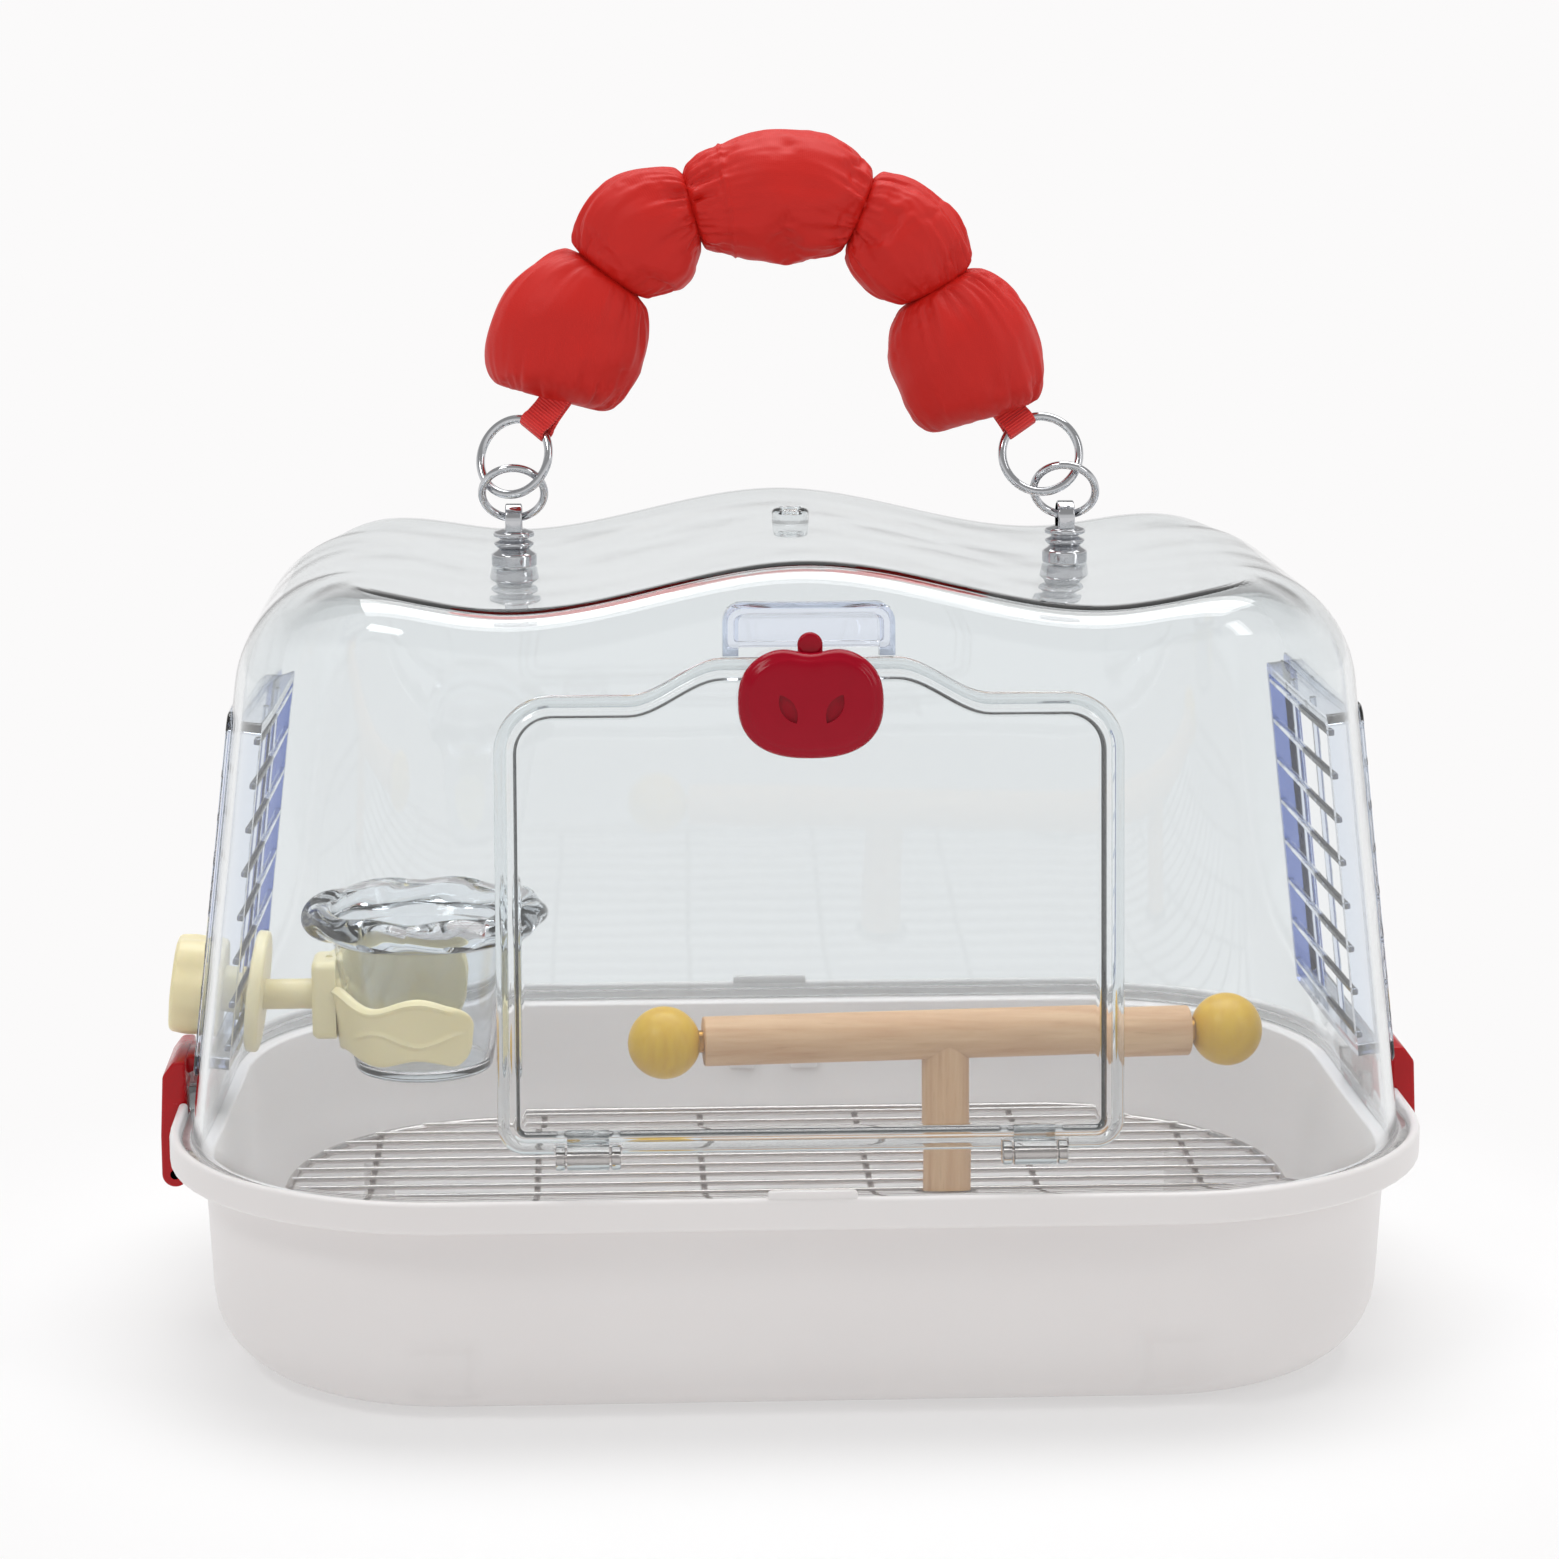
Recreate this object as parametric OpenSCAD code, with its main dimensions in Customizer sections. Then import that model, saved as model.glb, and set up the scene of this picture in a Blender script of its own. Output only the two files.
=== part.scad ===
// Travel carrier for a small bird: a clear dome on a white tray, with a front door,
// side vents, a clamp-on feeder cup, a wooden T perch on a wire floor and a padded handle.
// Millimetres. X runs to the right, Y to the back and Z up, seen from the front.
// The origin is the middle of the tray's underside.

/* [Tray] */
// Width over the tray rim
rim_w = 370; // [350:1:400]
// Depth over the tray rim
rim_d = 250; // [240:1:270]
// Height of the rim's top edge
rim_top = 70; // [64:1:80]
// Height of the rim's outer band
rim_band = 9; // [8:0.5:12]
// Plan radius of the rim's corners
rim_r = 84; // [82:1:92]
// Overhang of the rim past the tray wall
rim_over = 10; // [9:0.5:11]
// Thickness of the tray's wall and floor
tray_wall = 3; // [2.4:0.1:3.4]
// Radius between the tray's wall and its underside
tray_foot_r = 24; // [18:1:28]
// Depth of the ledge that the dome stands on, below the rim's top
ledge_drop = 5; // [4:0.5:6]

/* [Dome] */
// Height of the dome's crown above its foot
dome_h = 177.5; // [170:0.5:190]
// Lean of the dome's four walls, in degrees
lean = 6.8; // [6:0.1:8]
// Thickness of the dome's wall
dome_wall = 2.8; // [2.4:0.1:3.2]
// Rise of the crown over the shoulders
crown_rise = 8; // [6:0.5:10]
// Drop of the two valleys below the shoulders
valley_drop = 5; // [3:0.5:6]
// Distance of each valley from the middle
valley_x = 82.5; // [78:0.5:88]
// Radius of the rounding along the front and back ridges
ridge_r = 14; // [12:1:16]
// Radius of the rounding over the two side walls
side_top_r = 36; // [32:1:40]

/* [Door] */
// Width of the door over its bead
door_w = 174; // [164:1:180]
// Height of the door's shoulders along the slope
door_shoulder = 127; // [120:1:130]
// Extra height of the door's middle tongue
door_tongue = 10; // [8:1:11]
// Height of the door's lower edge above the ground
door_z = 82; // [80:0.5:88]
// Thickness of the door panel
door_t = 2.5; // [2:0.1:3]
// Width of the raised bead round the door
bead_w = 6.5; // [5:0.5:8]
// Height of the raised bead
bead_h = 1.4; // [1:0.1:2]
// Diameter of the door's hinge pins
door_pin_d = 2.4; // [2:0.1:2.8]
// Distance of each door hinge from the middle
door_hinge_x = 62; // [50:1:70]
// Width of the red door latch
latch_w = 40; // [36:1:42]
// Height of the red door latch
latch_h = 31; // [28:1:33]

/* [Side latches] */
// Width of a side latch, front to back
clip_w = 34; // [30:1:40]
// Thickness of a side latch
clip_t = 8; // [7:0.5:9]
// Height of a side latch above its hinge pin
clip_h = 35; // [33:0.5:37]
// Diameter of a side latch's hinge pin
clip_pin_d = 3; // [2.5:0.1:3.5]

/* [Vents] */
// Length of a vent window, front to back
vent_w = 98; // [90:1:104]
// Height of a vent window along the slope
vent_h = 104; // [100:1:108]
// Depth of the vent's clear sleeve
vent_deep = 9; // [8:0.5:10]
// Pitch of the vent's long bars
bar_pitch = 13.1; // [12.5:0.1:13.5]

/* [Feeder] */
// Outer diameter of the clamp knob
knob_d = 31; // [29:0.5:33]
// Diameter of the clamp stud
stud_d = 7.6; // [6:0.1:8.4]
// Outer diameter of the cup's rope rim
cup_rim_d = 73; // [70:0.5:76]
// Thickness of the cup's rope rim
cup_rope_d = 9; // [7:0.5:10]
// Height of the cup
cup_h = 52; // [48:0.5:54]
// Distance of the cup's middle from the carrier's middle
cup_x = 112; // [110:0.5:113]

/* [Perch and floor] */
// Length of the wooden perch bar
perch_l = 151; // [130:1:156]
// Diameter of the wooden perch bar
perch_d = 15.4; // [14:0.1:17]
// Diameter of the yellow balls
ball_d = 22.5; // [20:0.5:24]
// Height of the perch bar's middle above the ground
perch_z = 83; // [78:1:90]
// Place of the perch's post across the carrier
perch_x = 48.5; // [44:0.5:50]
// Height of the wire floor's upper face
floor_z = 34; // [31:0.5:36]
// Width of the wire floor
floor_w = 312; // [300:1:318]
// Depth of the wire floor
floor_d = 184; // [180:1:188]
// Pitch of the long wires
wire_pitch = 10; // [9:0.5:12]
// Thickness of the long wires
wire_d = 1.8; // [1.6:0.1:2.2]

/* [Handle] */
// Distance of each swivel from the middle
swivel_x = 82.5; // [78:0.5:88]
// Thickness of the padded handle, front to back
pad_t = 36; // [30:1:40]
// Outer diameter of the large rings
big_ring_d = 25.6; // [24:0.2:27]
// Wire thickness of the large rings
big_wire_d = 2.6; // [2:0.1:2.8]
// Outer diameter of the small rings
small_ring_d = 20.8; // [20:0.2:22]
// Wire thickness of the small rings
small_wire_d = 2.4; // [2:0.1:2.6]

/* [Hidden] */
$fn = 64;

// Clearances
run_gap = 0.05;     // radial gap of a pin or shaft that turns
seat_gap = 0.3;     // gap between pieces that lie against each other
part_gap = 0.5;     // gap between pieces that pass each other
catch_gap = 0.4;    // gap left between a catch and what it would hook

// Plan of the rounded box: the corner centres, shared by tray and dome
corner_x = rim_w / 2 - rim_r;
corner_y = rim_d / 2 - rim_r;
lip_t = 2.8;
lip_r = rim_r - lip_t;
dome_z = rim_top - ledge_drop;
flange_t = 3;
flange_r = lip_r - seat_gap;
flange_in = 2.9;
foot_r = flange_r - flange_in;
crown_z = dome_z + dome_h;
shoulder_z = crown_z - crown_rise;

// Corner radius and the reach of the dome's outer face at a height
function wall_r(z) = foot_r - (z - dome_z) * tan(lean);
function side_x(z) = corner_x + wall_r(z);
function front_y(z) = -corner_y - wall_r(z);

// Height of the dome's top along X: crown, valleys and shoulders, up to the side rounding
side_arc_z = shoulder_z - side_top_r;
shoulder_x = side_x(side_arc_z) - side_top_r / cos(lean);
function ease(t) = t <= 0 ? 0 : t >= 1 ? 1 : t * t * (3 - 2 * t);
function wave_z(x) = let (a = abs(x))
    a < valley_x ? shoulder_z - valley_drop + (crown_rise + valley_drop) * (1 - ease(a / valley_x)) :
    shoulder_z - valley_drop * (1 - ease((a - valley_x) / (shoulder_x - valley_x)));

// Points of an arc, for outlines
function arc(c, r, a0, a1, n) = [for (i = [0 : n]) let (a = a0 + (a1 - a0) * i / n) c + r * [cos(a), sin(a)]];

// Side latches
notch_x = corner_x + lip_r;
clip_in = notch_x + part_gap;
clip_pin_x = clip_in + clip_t / 2;
clip_pin_z = rim_top - 22.5;
clip_knuckle_r = clip_t / 2;
clip_bracket_w = 18;
clip_nose_w = 20;
clip_nose_x = clip_in - 2.8;
catch_pin_d = 1.8;
catch_pin_z = dome_z + 6.5;
lug_z0 = dome_z + seat_gap;
lug_h = 9.7;
lug_w = clip_w;
lug_ear = 4;

// Door, in the plane of the dome's front face
door_gap = 0.4;
door_lap = 4;
door_pin_y = -1.2;
door_pin_n = 3.6;
hinge_r = 3.3;
hinge_w = 18;
knuckle_w = 11.6;
ear_w = 2.6;
latch_y = door_shoulder - 2;
latch_n = door_gap + door_t + bead_h + 0.2;
latch_tongue_t = 2.4;
latch_body_t = 6;
latch_shaft_d = 5;
latch_boss_d = 13;
retainer_d = 11;
latch_tip_r = latch_h / 2 + 3.5;
catch_w = 45;
catch_y0 = door_shoulder + door_tongue + 2.5;
catch_y1 = catch_y0 + 11;
catch_deep = 7;
catch_wall = 1.6;

// Vents, in the plane of the dome's side faces
vent_y = 3;
vent_z = 140;
vent_wall = 3;
vent_lip = 2.5;
vent_lip_t = 1;
vent_fit = 0.1;
bar_t = 2;
bar_h = 1.8;
bars = 8;
bar_y0 = -(bars - 1) / 2 * bar_pitch + 0.7;

// Feeder: the stud passes midway between the two lowest bars
stud_y = bar_y0 + bar_pitch / 2;
stud_z = vent_z + stud_y * cos(lean);
disc_d = 37;
disc_t = 4.5;
bar_front_n = -vent_deep + bar_t;
knob_n0 = vent_lip_t + 0.6;
knob_n1 = knob_n0 + 11;
hub_d = 14;
knob_lobes = 6;
knob_lobe_r = 5;
knob_cap = 3;       // the knob's blind outer end
stud_short = 1;     // the stud stops this far inside it
cup_z0 = 76;
cup_top_r = 28;
cup_foot_r = 21.5;
cup_wall = 2;
cup_rope_r = cup_rim_d / 2 - cup_rope_d / 2;
cradle_t = 2.8;
cradle_z0 = cup_z0 + 7;
cradle_h = 29;
cradle_mouth = 24;
cradle_open = 16;
block_out = 12;     // the block between the arm and the cradle, from the cup's foot
block_in = 2;
block_w = 18;
arm_sink = 4;
arm_d = 9.2;
arm_z = stud_z - 2.4;

// Tray's small features
rim_tab_w = 25;       // tabs at the middle of the front and back rims
rim_tab_h = 2;
dimple_x = 103;       // shallow foot marks in the wall
dimple_w = 20;
dimple_z = [8, 26];
back_clip_x = [6, 15];
back_clip_t = 4;
back_clip_h = 12;
support_y = floor_d / 2 - 32;

// Perch and wire floor
post_d = 14.7;
cross_d = 2.2;
frame_d = 2.8;
cross_wires = 6;
cross_pitch = 52;
floor_corner_r = 70;
perch_yaw = 4;
screw_d = 3;
screw_in = 15;      // depth of each ball's screw in the bar and in the ball
screw_out = 11;
collar_d = 7;
collar_t = 1.6;
rod_d = 4;
rod_up = 20;
rod_down = 9;
washer_d = 20;
washer_t = 1.5;
nut_d = 11;
nut_t = 4;
support_d = 10;
flat8 = cos(22.5);  // an eight-sided wire's flat, as a share of its radius
weld = 0.4;         // depth that the long wires sink into the cross wires
long_z = floor_z - wire_d / 2;
cross_z = floor_z - wire_d - cross_d / 2 + weld;
under_long = long_z - wire_d / 2 * flat8;
under_cross = cross_z - cross_d / 2 * flat8;
function cross_x(i) = (i - (cross_wires - 1) / 2) * cross_pitch;

// Swivels and rings, and the plug at the crown
plug_d = 11;
plug_h = 3;
swivel_top = wave_z(swivel_x);
base_d = 13.5;
base_seat = 0.35;
base_t = 4;
neck_d = base_d / 2; // the base's threaded neck goes through the dome to its nut
neck_l = 5;
head_pin_d = 4.6;
head_d = 11.5;
eye_r = 2.5;
eye_out_r = 4.8;
eye_t = 5;
eye_flare = 1.5;    // the eye's mouths open out, so that its ring can lean in them
eye_z = swivel_top + 14.2;
ring_pull = 0.5;    // the handle's pull brings each small ring up in its eye
hang_z = eye_z + ring_pull;
swivel_nut_d = 11;
big_r = (big_ring_d - big_wire_d) / 2;
small_r = (small_ring_d - small_wire_d) / 2;
// Middle of each large ring, from its eye, and how both rings of a side are turned
left_ring_off = [0.5, -4, 18.7];
right_ring_off = [-8, -4, 18.7];
left_small_turn = [30, 0, 0];
right_small_turn = [30, 0, -10];
left_big_turn = [-20, 0, -30];
right_big_turn = [-20, 0, 0];
left_ring_c = [-swivel_x, 0, hang_z] + left_ring_off;
right_ring_c = [swivel_x, 0, hang_z] + right_ring_off;
// Where each webbing tab sits on its ring, in degrees from the ring's top
left_tab_turn = 31;
right_tab_turn = -35;

// Padded handle: middle line points, in the plane of the handle, and the half
// heights across it at each point; narrow points are the gathered necks
pad_line = [
    [-70.5, 279], [-65.5, 297], [-53.5, 315.5], [-43.5, 327], [-29, 335],
    [-1.7, 338.5], [20.6, 334.5], [33, 324.5], [43.5, 312], [51.5, 292.5], [57.5, 272.5]
];
pad_half = [13, 23.5, 10.6, 19.2, 10.6, 19.6, 10.2, 17.6, 9.8, 22.8, 12];
pad_full = 0.5;
pad_lift = hang_z - 243.7;
pad_sides = 18;
pad_steps = 6;
tab_w = 9.5;
tab_t = 1.4;
tab_l = 11.5;

// A rounded box swept from an outline in (corner radius, height)
module around() {
    for (mx = [0, 1], my = [0, 1])
        mirror([mx, 0, 0]) mirror([0, my, 0])
            translate([corner_x, corner_y, 0]) rotate_extrude(angle = 90, $fn = 96) children();
    for (mx = [0, 1])
        mirror([mx, 0, 0]) translate([corner_x, corner_y, 0]) rotate([90, 0, 0])
            linear_extrude(2 * corner_y) children();
    for (my = [0, 1])
        mirror([0, my, 0]) translate([-corner_x, corner_y, 0]) rotate([90, 0, 90])
            linear_extrude(2 * corner_x) children();
}

// Local planes: X along the face, Y up its slope, Z outward
module front_face(z) {
    translate([0, front_y(z), z]) rotate([90 - lean, 0, 0]) children();
}
module left_face(z) {
    translate([-side_x(z), 0, z]) rotate([90 - lean, 0, -90]) children();
}

// A bar along X, Y or Z between two limits, given as a box
module span_box(x, y, z) {
    translate([x[0], y[0], z[0]]) cube([x[1] - x[0], y[1] - y[0], z[1] - z[0]]);
}

// Tray
module tray_profile() {
    wall_top = rim_r - rim_over;
    wall_low = wall_top - 3;
    arc_c = [wall_low - tray_foot_r, tray_foot_r];
    band_z = rim_top - rim_band;
    polygon(concat(
        [[0, 0]],
        arc(arc_c, tray_foot_r, -90, 0, 6),
        [[wall_top, band_z], [rim_r - 0.8, band_z], [rim_r, band_z + 0.8], [rim_r, rim_top - 1]],
        [[rim_r - 1, rim_top], [lip_r, rim_top], [lip_r, dome_z], [wall_top - tray_wall, dome_z]],
        arc(arc_c, tray_foot_r - tray_wall, 0, -90, 6),
        [[0, tray_wall]]
    ));
}
module latch_bracket() {
    wall_x = corner_x + rim_r - rim_over - 2;
    translate([0, clip_bracket_w / 2, 0]) rotate([90, 0, 0]) linear_extrude(clip_bracket_w)
        polygon([
            [wall_x, clip_pin_z - 12], [wall_x, clip_pin_z + clip_knuckle_r],
            [clip_pin_x, clip_pin_z + clip_knuckle_r], [clip_pin_x, clip_pin_z - clip_knuckle_r]
        ]);
    translate([clip_pin_x, clip_bracket_w / 2, clip_pin_z]) rotate([90, 0, 0])
        cylinder(r = clip_knuckle_r, h = clip_bracket_w);
}
module tray() {
    clip_wall_y = rim_d / 2 - rim_over - tray_wall + 0.4;
    color("white") difference() {
        union() {
            around() tray_profile();
            span_box([-corner_x, corner_x], [-corner_y, corner_y], [0, tray_wall]);
            for (m = [0, 1]) mirror([m, 0, 0]) latch_bracket();
            for (sx = [-1, 1], sy = [-1, 1])
                translate([sx * cross_x(cross_wires - 1), sy * support_y, tray_wall / 2])
                    cylinder(d = support_d, h = under_cross - seat_gap - tray_wall / 2);
            for (sy = [-1, 1])
                span_box([-rim_tab_w / 2, rim_tab_w / 2], sy > 0 ? [rim_d / 2 - lip_t, rim_d / 2 - 0.6] :
                    [-rim_d / 2 + 0.6, -rim_d / 2 + lip_t], [rim_top - 1, rim_top + rim_tab_h]);
            for (sx = [-1, 1])
                span_box(sx > 0 ? back_clip_x : [-back_clip_x[1], -back_clip_x[0]],
                    [clip_wall_y - back_clip_t, clip_wall_y], [floor_z + 8, floor_z + 8 + back_clip_h]);
        }
        for (m = [0, 1]) mirror([m, 0, 0]) {
            span_box([notch_x - 0.2, notch_x + 10], [-clip_w / 2 - 1, clip_w / 2 + 1],
                [rim_top - rim_band - 1, rim_top + 1]);
            translate([clip_pin_x, clip_bracket_w / 2 + 1, clip_pin_z]) rotate([90, 0, 0])
                cylinder(d = clip_pin_d, h = clip_bracket_w + 2);
        }
        for (sx = [-1, 1])
            span_box([sx * dimple_x - dimple_w / 2, sx * dimple_x + dimple_w / 2],
                [-rim_d / 2 - 5, -rim_d / 2 + rim_over + 5], dimple_z);
    }
}
module latch_hinge_pins() {
    color("silver") for (sx = [-1, 1])
        translate([sx * clip_pin_x, clip_w / 2, clip_pin_z]) rotate([90, 0, 0])
            cylinder(d = clip_pin_d, h = clip_w);
}

// Side latch on the right; the left one mirrors it
module latch_solid() {
    top_z = clip_pin_z + clip_h;
    out_x = clip_in + clip_t;
    difference() {
        union() {
            translate([0, clip_w / 2, 0]) rotate([90, 0, 0]) linear_extrude(clip_w)
                polygon([
                    [clip_in, clip_pin_z], [out_x, clip_pin_z], [out_x, top_z - 8.5],
                    [out_x - 2.2, top_z - 2], [out_x - 5, top_z], [clip_in, top_z]
                ]);
            translate([clip_pin_x, clip_w / 2, clip_pin_z]) rotate([90, 0, 0])
                cylinder(r = clip_knuckle_r, h = clip_w);
            translate([0, clip_nose_w / 2, 0]) rotate([90, 0, 0]) linear_extrude(clip_nose_w)
                polygon([
                    [clip_in + 1, top_z - 5.8], [clip_in + 1, top_z], [clip_in - 2, top_z - 0.2],
                    [clip_nose_x, top_z - 1.6], [clip_nose_x, top_z - 4.2]
                ]);
        }
        translate([clip_pin_x, clip_w / 2 + 1, clip_pin_z]) rotate([90, 0, 0])
            cylinder(d = clip_pin_d + 2 * run_gap, h = clip_w + 2);
        span_box([clip_in - 3, out_x + 3], [-clip_bracket_w / 2 - 0.3, clip_bracket_w / 2 + 0.3],
            [clip_pin_z - clip_knuckle_r - 1, clip_pin_z + clip_knuckle_r + 2.5]);
    }
}
module latch_left() { color("firebrick") mirror([1, 0, 0]) latch_solid(); }
module latch_right() { color("firebrick") latch_solid(); }

// Wire floor: a rounded frame, long wires on top of cross wires
function frame_half_x(y) = let (c = floor_d / 2 - floor_corner_r, a = max(0, abs(y) - c))
    floor_w / 2 - floor_corner_r + sqrt(max(0, floor_corner_r * floor_corner_r - a * a));
function frame_half_y(x) = let (c = floor_w / 2 - floor_corner_r, a = max(0, abs(x) - c))
    floor_d / 2 - floor_corner_r + sqrt(max(0, floor_corner_r * floor_corner_r - a * a));
module wire_floor() {
    frame_z = long_z - frame_d / 2 + 0.5;
    cc = [floor_w / 2 - floor_corner_r, floor_d / 2 - floor_corner_r];
    rows = floor((floor_d / 2 - 2) / wire_pitch);
    color("silver") {
        for (mx = [0, 1], my = [0, 1]) mirror([mx, 0, 0]) mirror([0, my, 0])
            translate([cc[0], cc[1], frame_z]) rotate_extrude(angle = 90)
                translate([floor_corner_r, 0]) circle(d = frame_d, $fn = 16);
        for (my = [-1, 1]) translate([-cc[0], my * floor_d / 2, frame_z]) rotate([0, 90, 0])
            cylinder(d = frame_d, h = 2 * cc[0], $fn = 16);
        for (mx = [-1, 1]) translate([mx * floor_w / 2, cc[1], frame_z]) rotate([90, 0, 0])
            cylinder(d = frame_d, h = 2 * cc[1], $fn = 16);
        for (i = [-rows : rows - 1]) let (y = (i + 0.5) * wire_pitch, hx = frame_half_x(y))
            translate([-hx, y, long_z]) rotate([0, 90, 0]) rotate([0, 0, 22.5])
                cylinder(d = wire_d, h = 2 * hx, $fn = 8);
        for (i = [0 : cross_wires - 1]) let (x = cross_x(i), hy = frame_half_y(x))
            translate([x, hy, cross_z]) rotate([90, 0, 0]) rotate([0, 0, 22.5])
                cylinder(d = cross_d, h = 2 * hy, $fn = 8);
    }
}

// Perch: post on the wire floor, bar across it, balls on screws
module at_perch() {
    translate([perch_x, 0, perch_z]) rotate([0, 0, perch_yaw]) children();
}
module perch_post() {
    color("burlywood") difference() {
        translate([perch_x, 0, floor_z]) cylinder(d = post_d, h = perch_z - floor_z);
        at_perch() rotate([0, 90, 0]) translate([0, 0, -perch_d])
            cylinder(d = perch_d + 0.2, h = 2 * perch_d);
        translate([perch_x, 0, floor_z - 1]) cylinder(d = rod_d, h = rod_up + 1);
    }
}
module perch_bar() {
    color("burlywood") at_perch() difference() {
        rotate([0, 90, 0]) translate([0, 0, -perch_l / 2]) cylinder(d = perch_d, h = perch_l);
        for (s = [-1, 1]) rotate([0, s * 90, 0]) translate([0, 0, perch_l / 2 - screw_in])
            cylinder(d = screw_d + 2 * run_gap, h = screw_in + 1);
    }
}
module perch_ball(s) {
    flat_r = collar_d / 2 + 0.5;
    off = perch_l / 2 + collar_t + sqrt(ball_d * ball_d / 4 - flat_r * flat_r);
    color("gold") at_perch() rotate([0, s * 90, 0]) difference() {
        translate([0, 0, off]) sphere(d = ball_d);
        translate([0, 0, perch_l / 2 - 5]) cylinder(r = flat_r, h = 5 + collar_t + run_gap);
        translate([0, 0, perch_l / 2]) cylinder(d = screw_d + 2 * run_gap, h = collar_t + screw_out + 1);
    }
}
module perch_ball_left() { perch_ball(-1); }
module perch_ball_right() { perch_ball(1); }
module ball_screws() {
    color("goldenrod") at_perch() for (s = [-1, 1]) rotate([0, s * 90, 0]) {
        translate([0, 0, perch_l / 2 - screw_in])
            cylinder(d = screw_d, h = screw_in + collar_t + screw_out);
        translate([0, 0, perch_l / 2]) cylinder(d = collar_d, h = collar_t);
    }
}
module floor_stud() {
    color("silver") translate([perch_x, 0, under_long - rod_down])
        cylinder(d = rod_d, h = rod_down + floor_z - under_long + rod_up);
}
module floor_washer() {
    color("silver") difference() {
        translate([perch_x, 0, under_long - washer_t]) cylinder(d = washer_d, h = washer_t);
        translate([perch_x, 0, under_long - washer_t - 1]) cylinder(d = rod_d + 0.4, h = washer_t + 2);
    }
}
module floor_nut() {
    color("silver") difference() {
        translate([perch_x, 0, under_long - washer_t - nut_t]) cylinder(d = nut_d, h = nut_t, $fn = 6);
        translate([perch_x, 0, under_long - washer_t - nut_t - 1]) cylinder(d = rod_d, h = nut_t + 2);
    }
}

// Dome
module dome_profile(inset, cut) {
    tilt_in = inset / cos(lean);
    top_z = crown_z + 3.5 - inset;
    mid_z = top_z - ridge_r;
    arc_r = wall_r(mid_z) - tilt_in - ridge_r / cos(lean);
    polygon(concat(
        [[0, dome_z - cut], [wall_r(dome_z - cut) - tilt_in, dome_z - cut]],
        arc([arc_r, mid_z], ridge_r, lean, 90, 6),
        [[0, top_z]]
    ));
}
module wave_slab(inset) {
    reach = side_x(dome_z) + 6;
    arc_r = side_top_r - inset;
    arc_end = side_arc_z + arc_r * sin(lean);
    steps = 20;
    translate([0, rim_d / 2, 0]) rotate([90, 0, 0]) linear_extrude(rim_d)
        polygon(concat(
            [[reach, dome_z - 20], [-reach, dome_z - 20], [-reach, arc_end]],
            arc([-shoulder_x, side_arc_z], arc_r, 180 - lean, 90, 6),
            [for (i = [1 - steps : steps - 1]) let (x = shoulder_x * i / steps) [x, wave_z(x) - inset]],
            arc([shoulder_x, side_arc_z], arc_r, 90, lean, 6),
            [[reach, arc_end]]
        ));
}
module dome_body(inset, cut) {
    intersection() {
        union() {
            around() dome_profile(inset, cut);
            span_box([-corner_x, corner_x], [-corner_y, corner_y],
                [dome_z - cut, crown_z + 3.5 - inset]);
        }
        wave_slab(inset);
    }
}

// Door outline in the front face's plane, drawn in by an inset
function tongue_y(x) = door_tongue * (1 - ease((abs(x) - 24) / 26));
function door_pts(inset) =
    let (
        hx = door_w / 2 - inset,
        top_r = 16 - inset,
        low_r = max(2, 8 - inset),
        top_y = door_shoulder - inset,
        flat = 52
    )
    concat(
        arc([hx - low_r, inset + low_r], low_r, -90, 0, 4),
        arc([hx - top_r, top_y - top_r], top_r, 0, 90, 6),
        [for (i = [16 : -1 : -16]) let (x = flat * i / 16) [x, top_y + tongue_y(x)]],
        arc([-hx + top_r, top_y - top_r], top_r, 90, 180, 6),
        arc([-hx + low_r, inset + low_r], low_r, 180, 270, 4)
    );
module hinge_ears() {
    for (s = [-1, 1], e = [-1, 1])
        front_face(door_z) translate([s * door_hinge_x + e * (hinge_w - ear_w) / 2, 0, 0]) {
            translate([-ear_w / 2, door_pin_y, door_pin_n]) rotate([0, 90, 0])
                cylinder(r = hinge_r, h = ear_w);
            span_box([-ear_w / 2, ear_w / 2], [door_pin_y - hinge_r, door_pin_y + hinge_r],
                [-1, door_pin_n]);
        }
}
module side_lug() {
    in_x = side_x(catch_pin_z) - dome_wall - 3.2;
    span_box([in_x, notch_x - 0.2], [-lug_w / 2, lug_w / 2], [lug_z0, lug_z0 + lug_h]);
}
module side_lug_cuts() {
    deep_x = side_x(catch_pin_z) - dome_wall + 0.4;
    pocket = lug_w / 2 - lug_ear;
    span_box([deep_x, notch_x + 1], [-pocket, pocket], [dome_z + flange_t + 0.2, lug_z0 + lug_h]);
    span_box([clip_nose_x - catch_gap, notch_x + 1], [-pocket, pocket], [dome_z - 1, lug_z0 + lug_h]);
    translate([side_x(catch_pin_z), lug_w / 2 + 1, catch_pin_z]) rotate([90, 0, 0])
        cylinder(d = catch_pin_d, h = lug_w + 2);
}
module vent_outline(grow, h) {
    translate([-vent_w / 2 - grow, -vent_h / 2 - grow, 0])
        cube([vent_w + 2 * grow, vent_h + 2 * grow, h]);
}
module at_vent() {
    left_face(vent_z) translate([-vent_y, 0, 0]) children();
}
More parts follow.
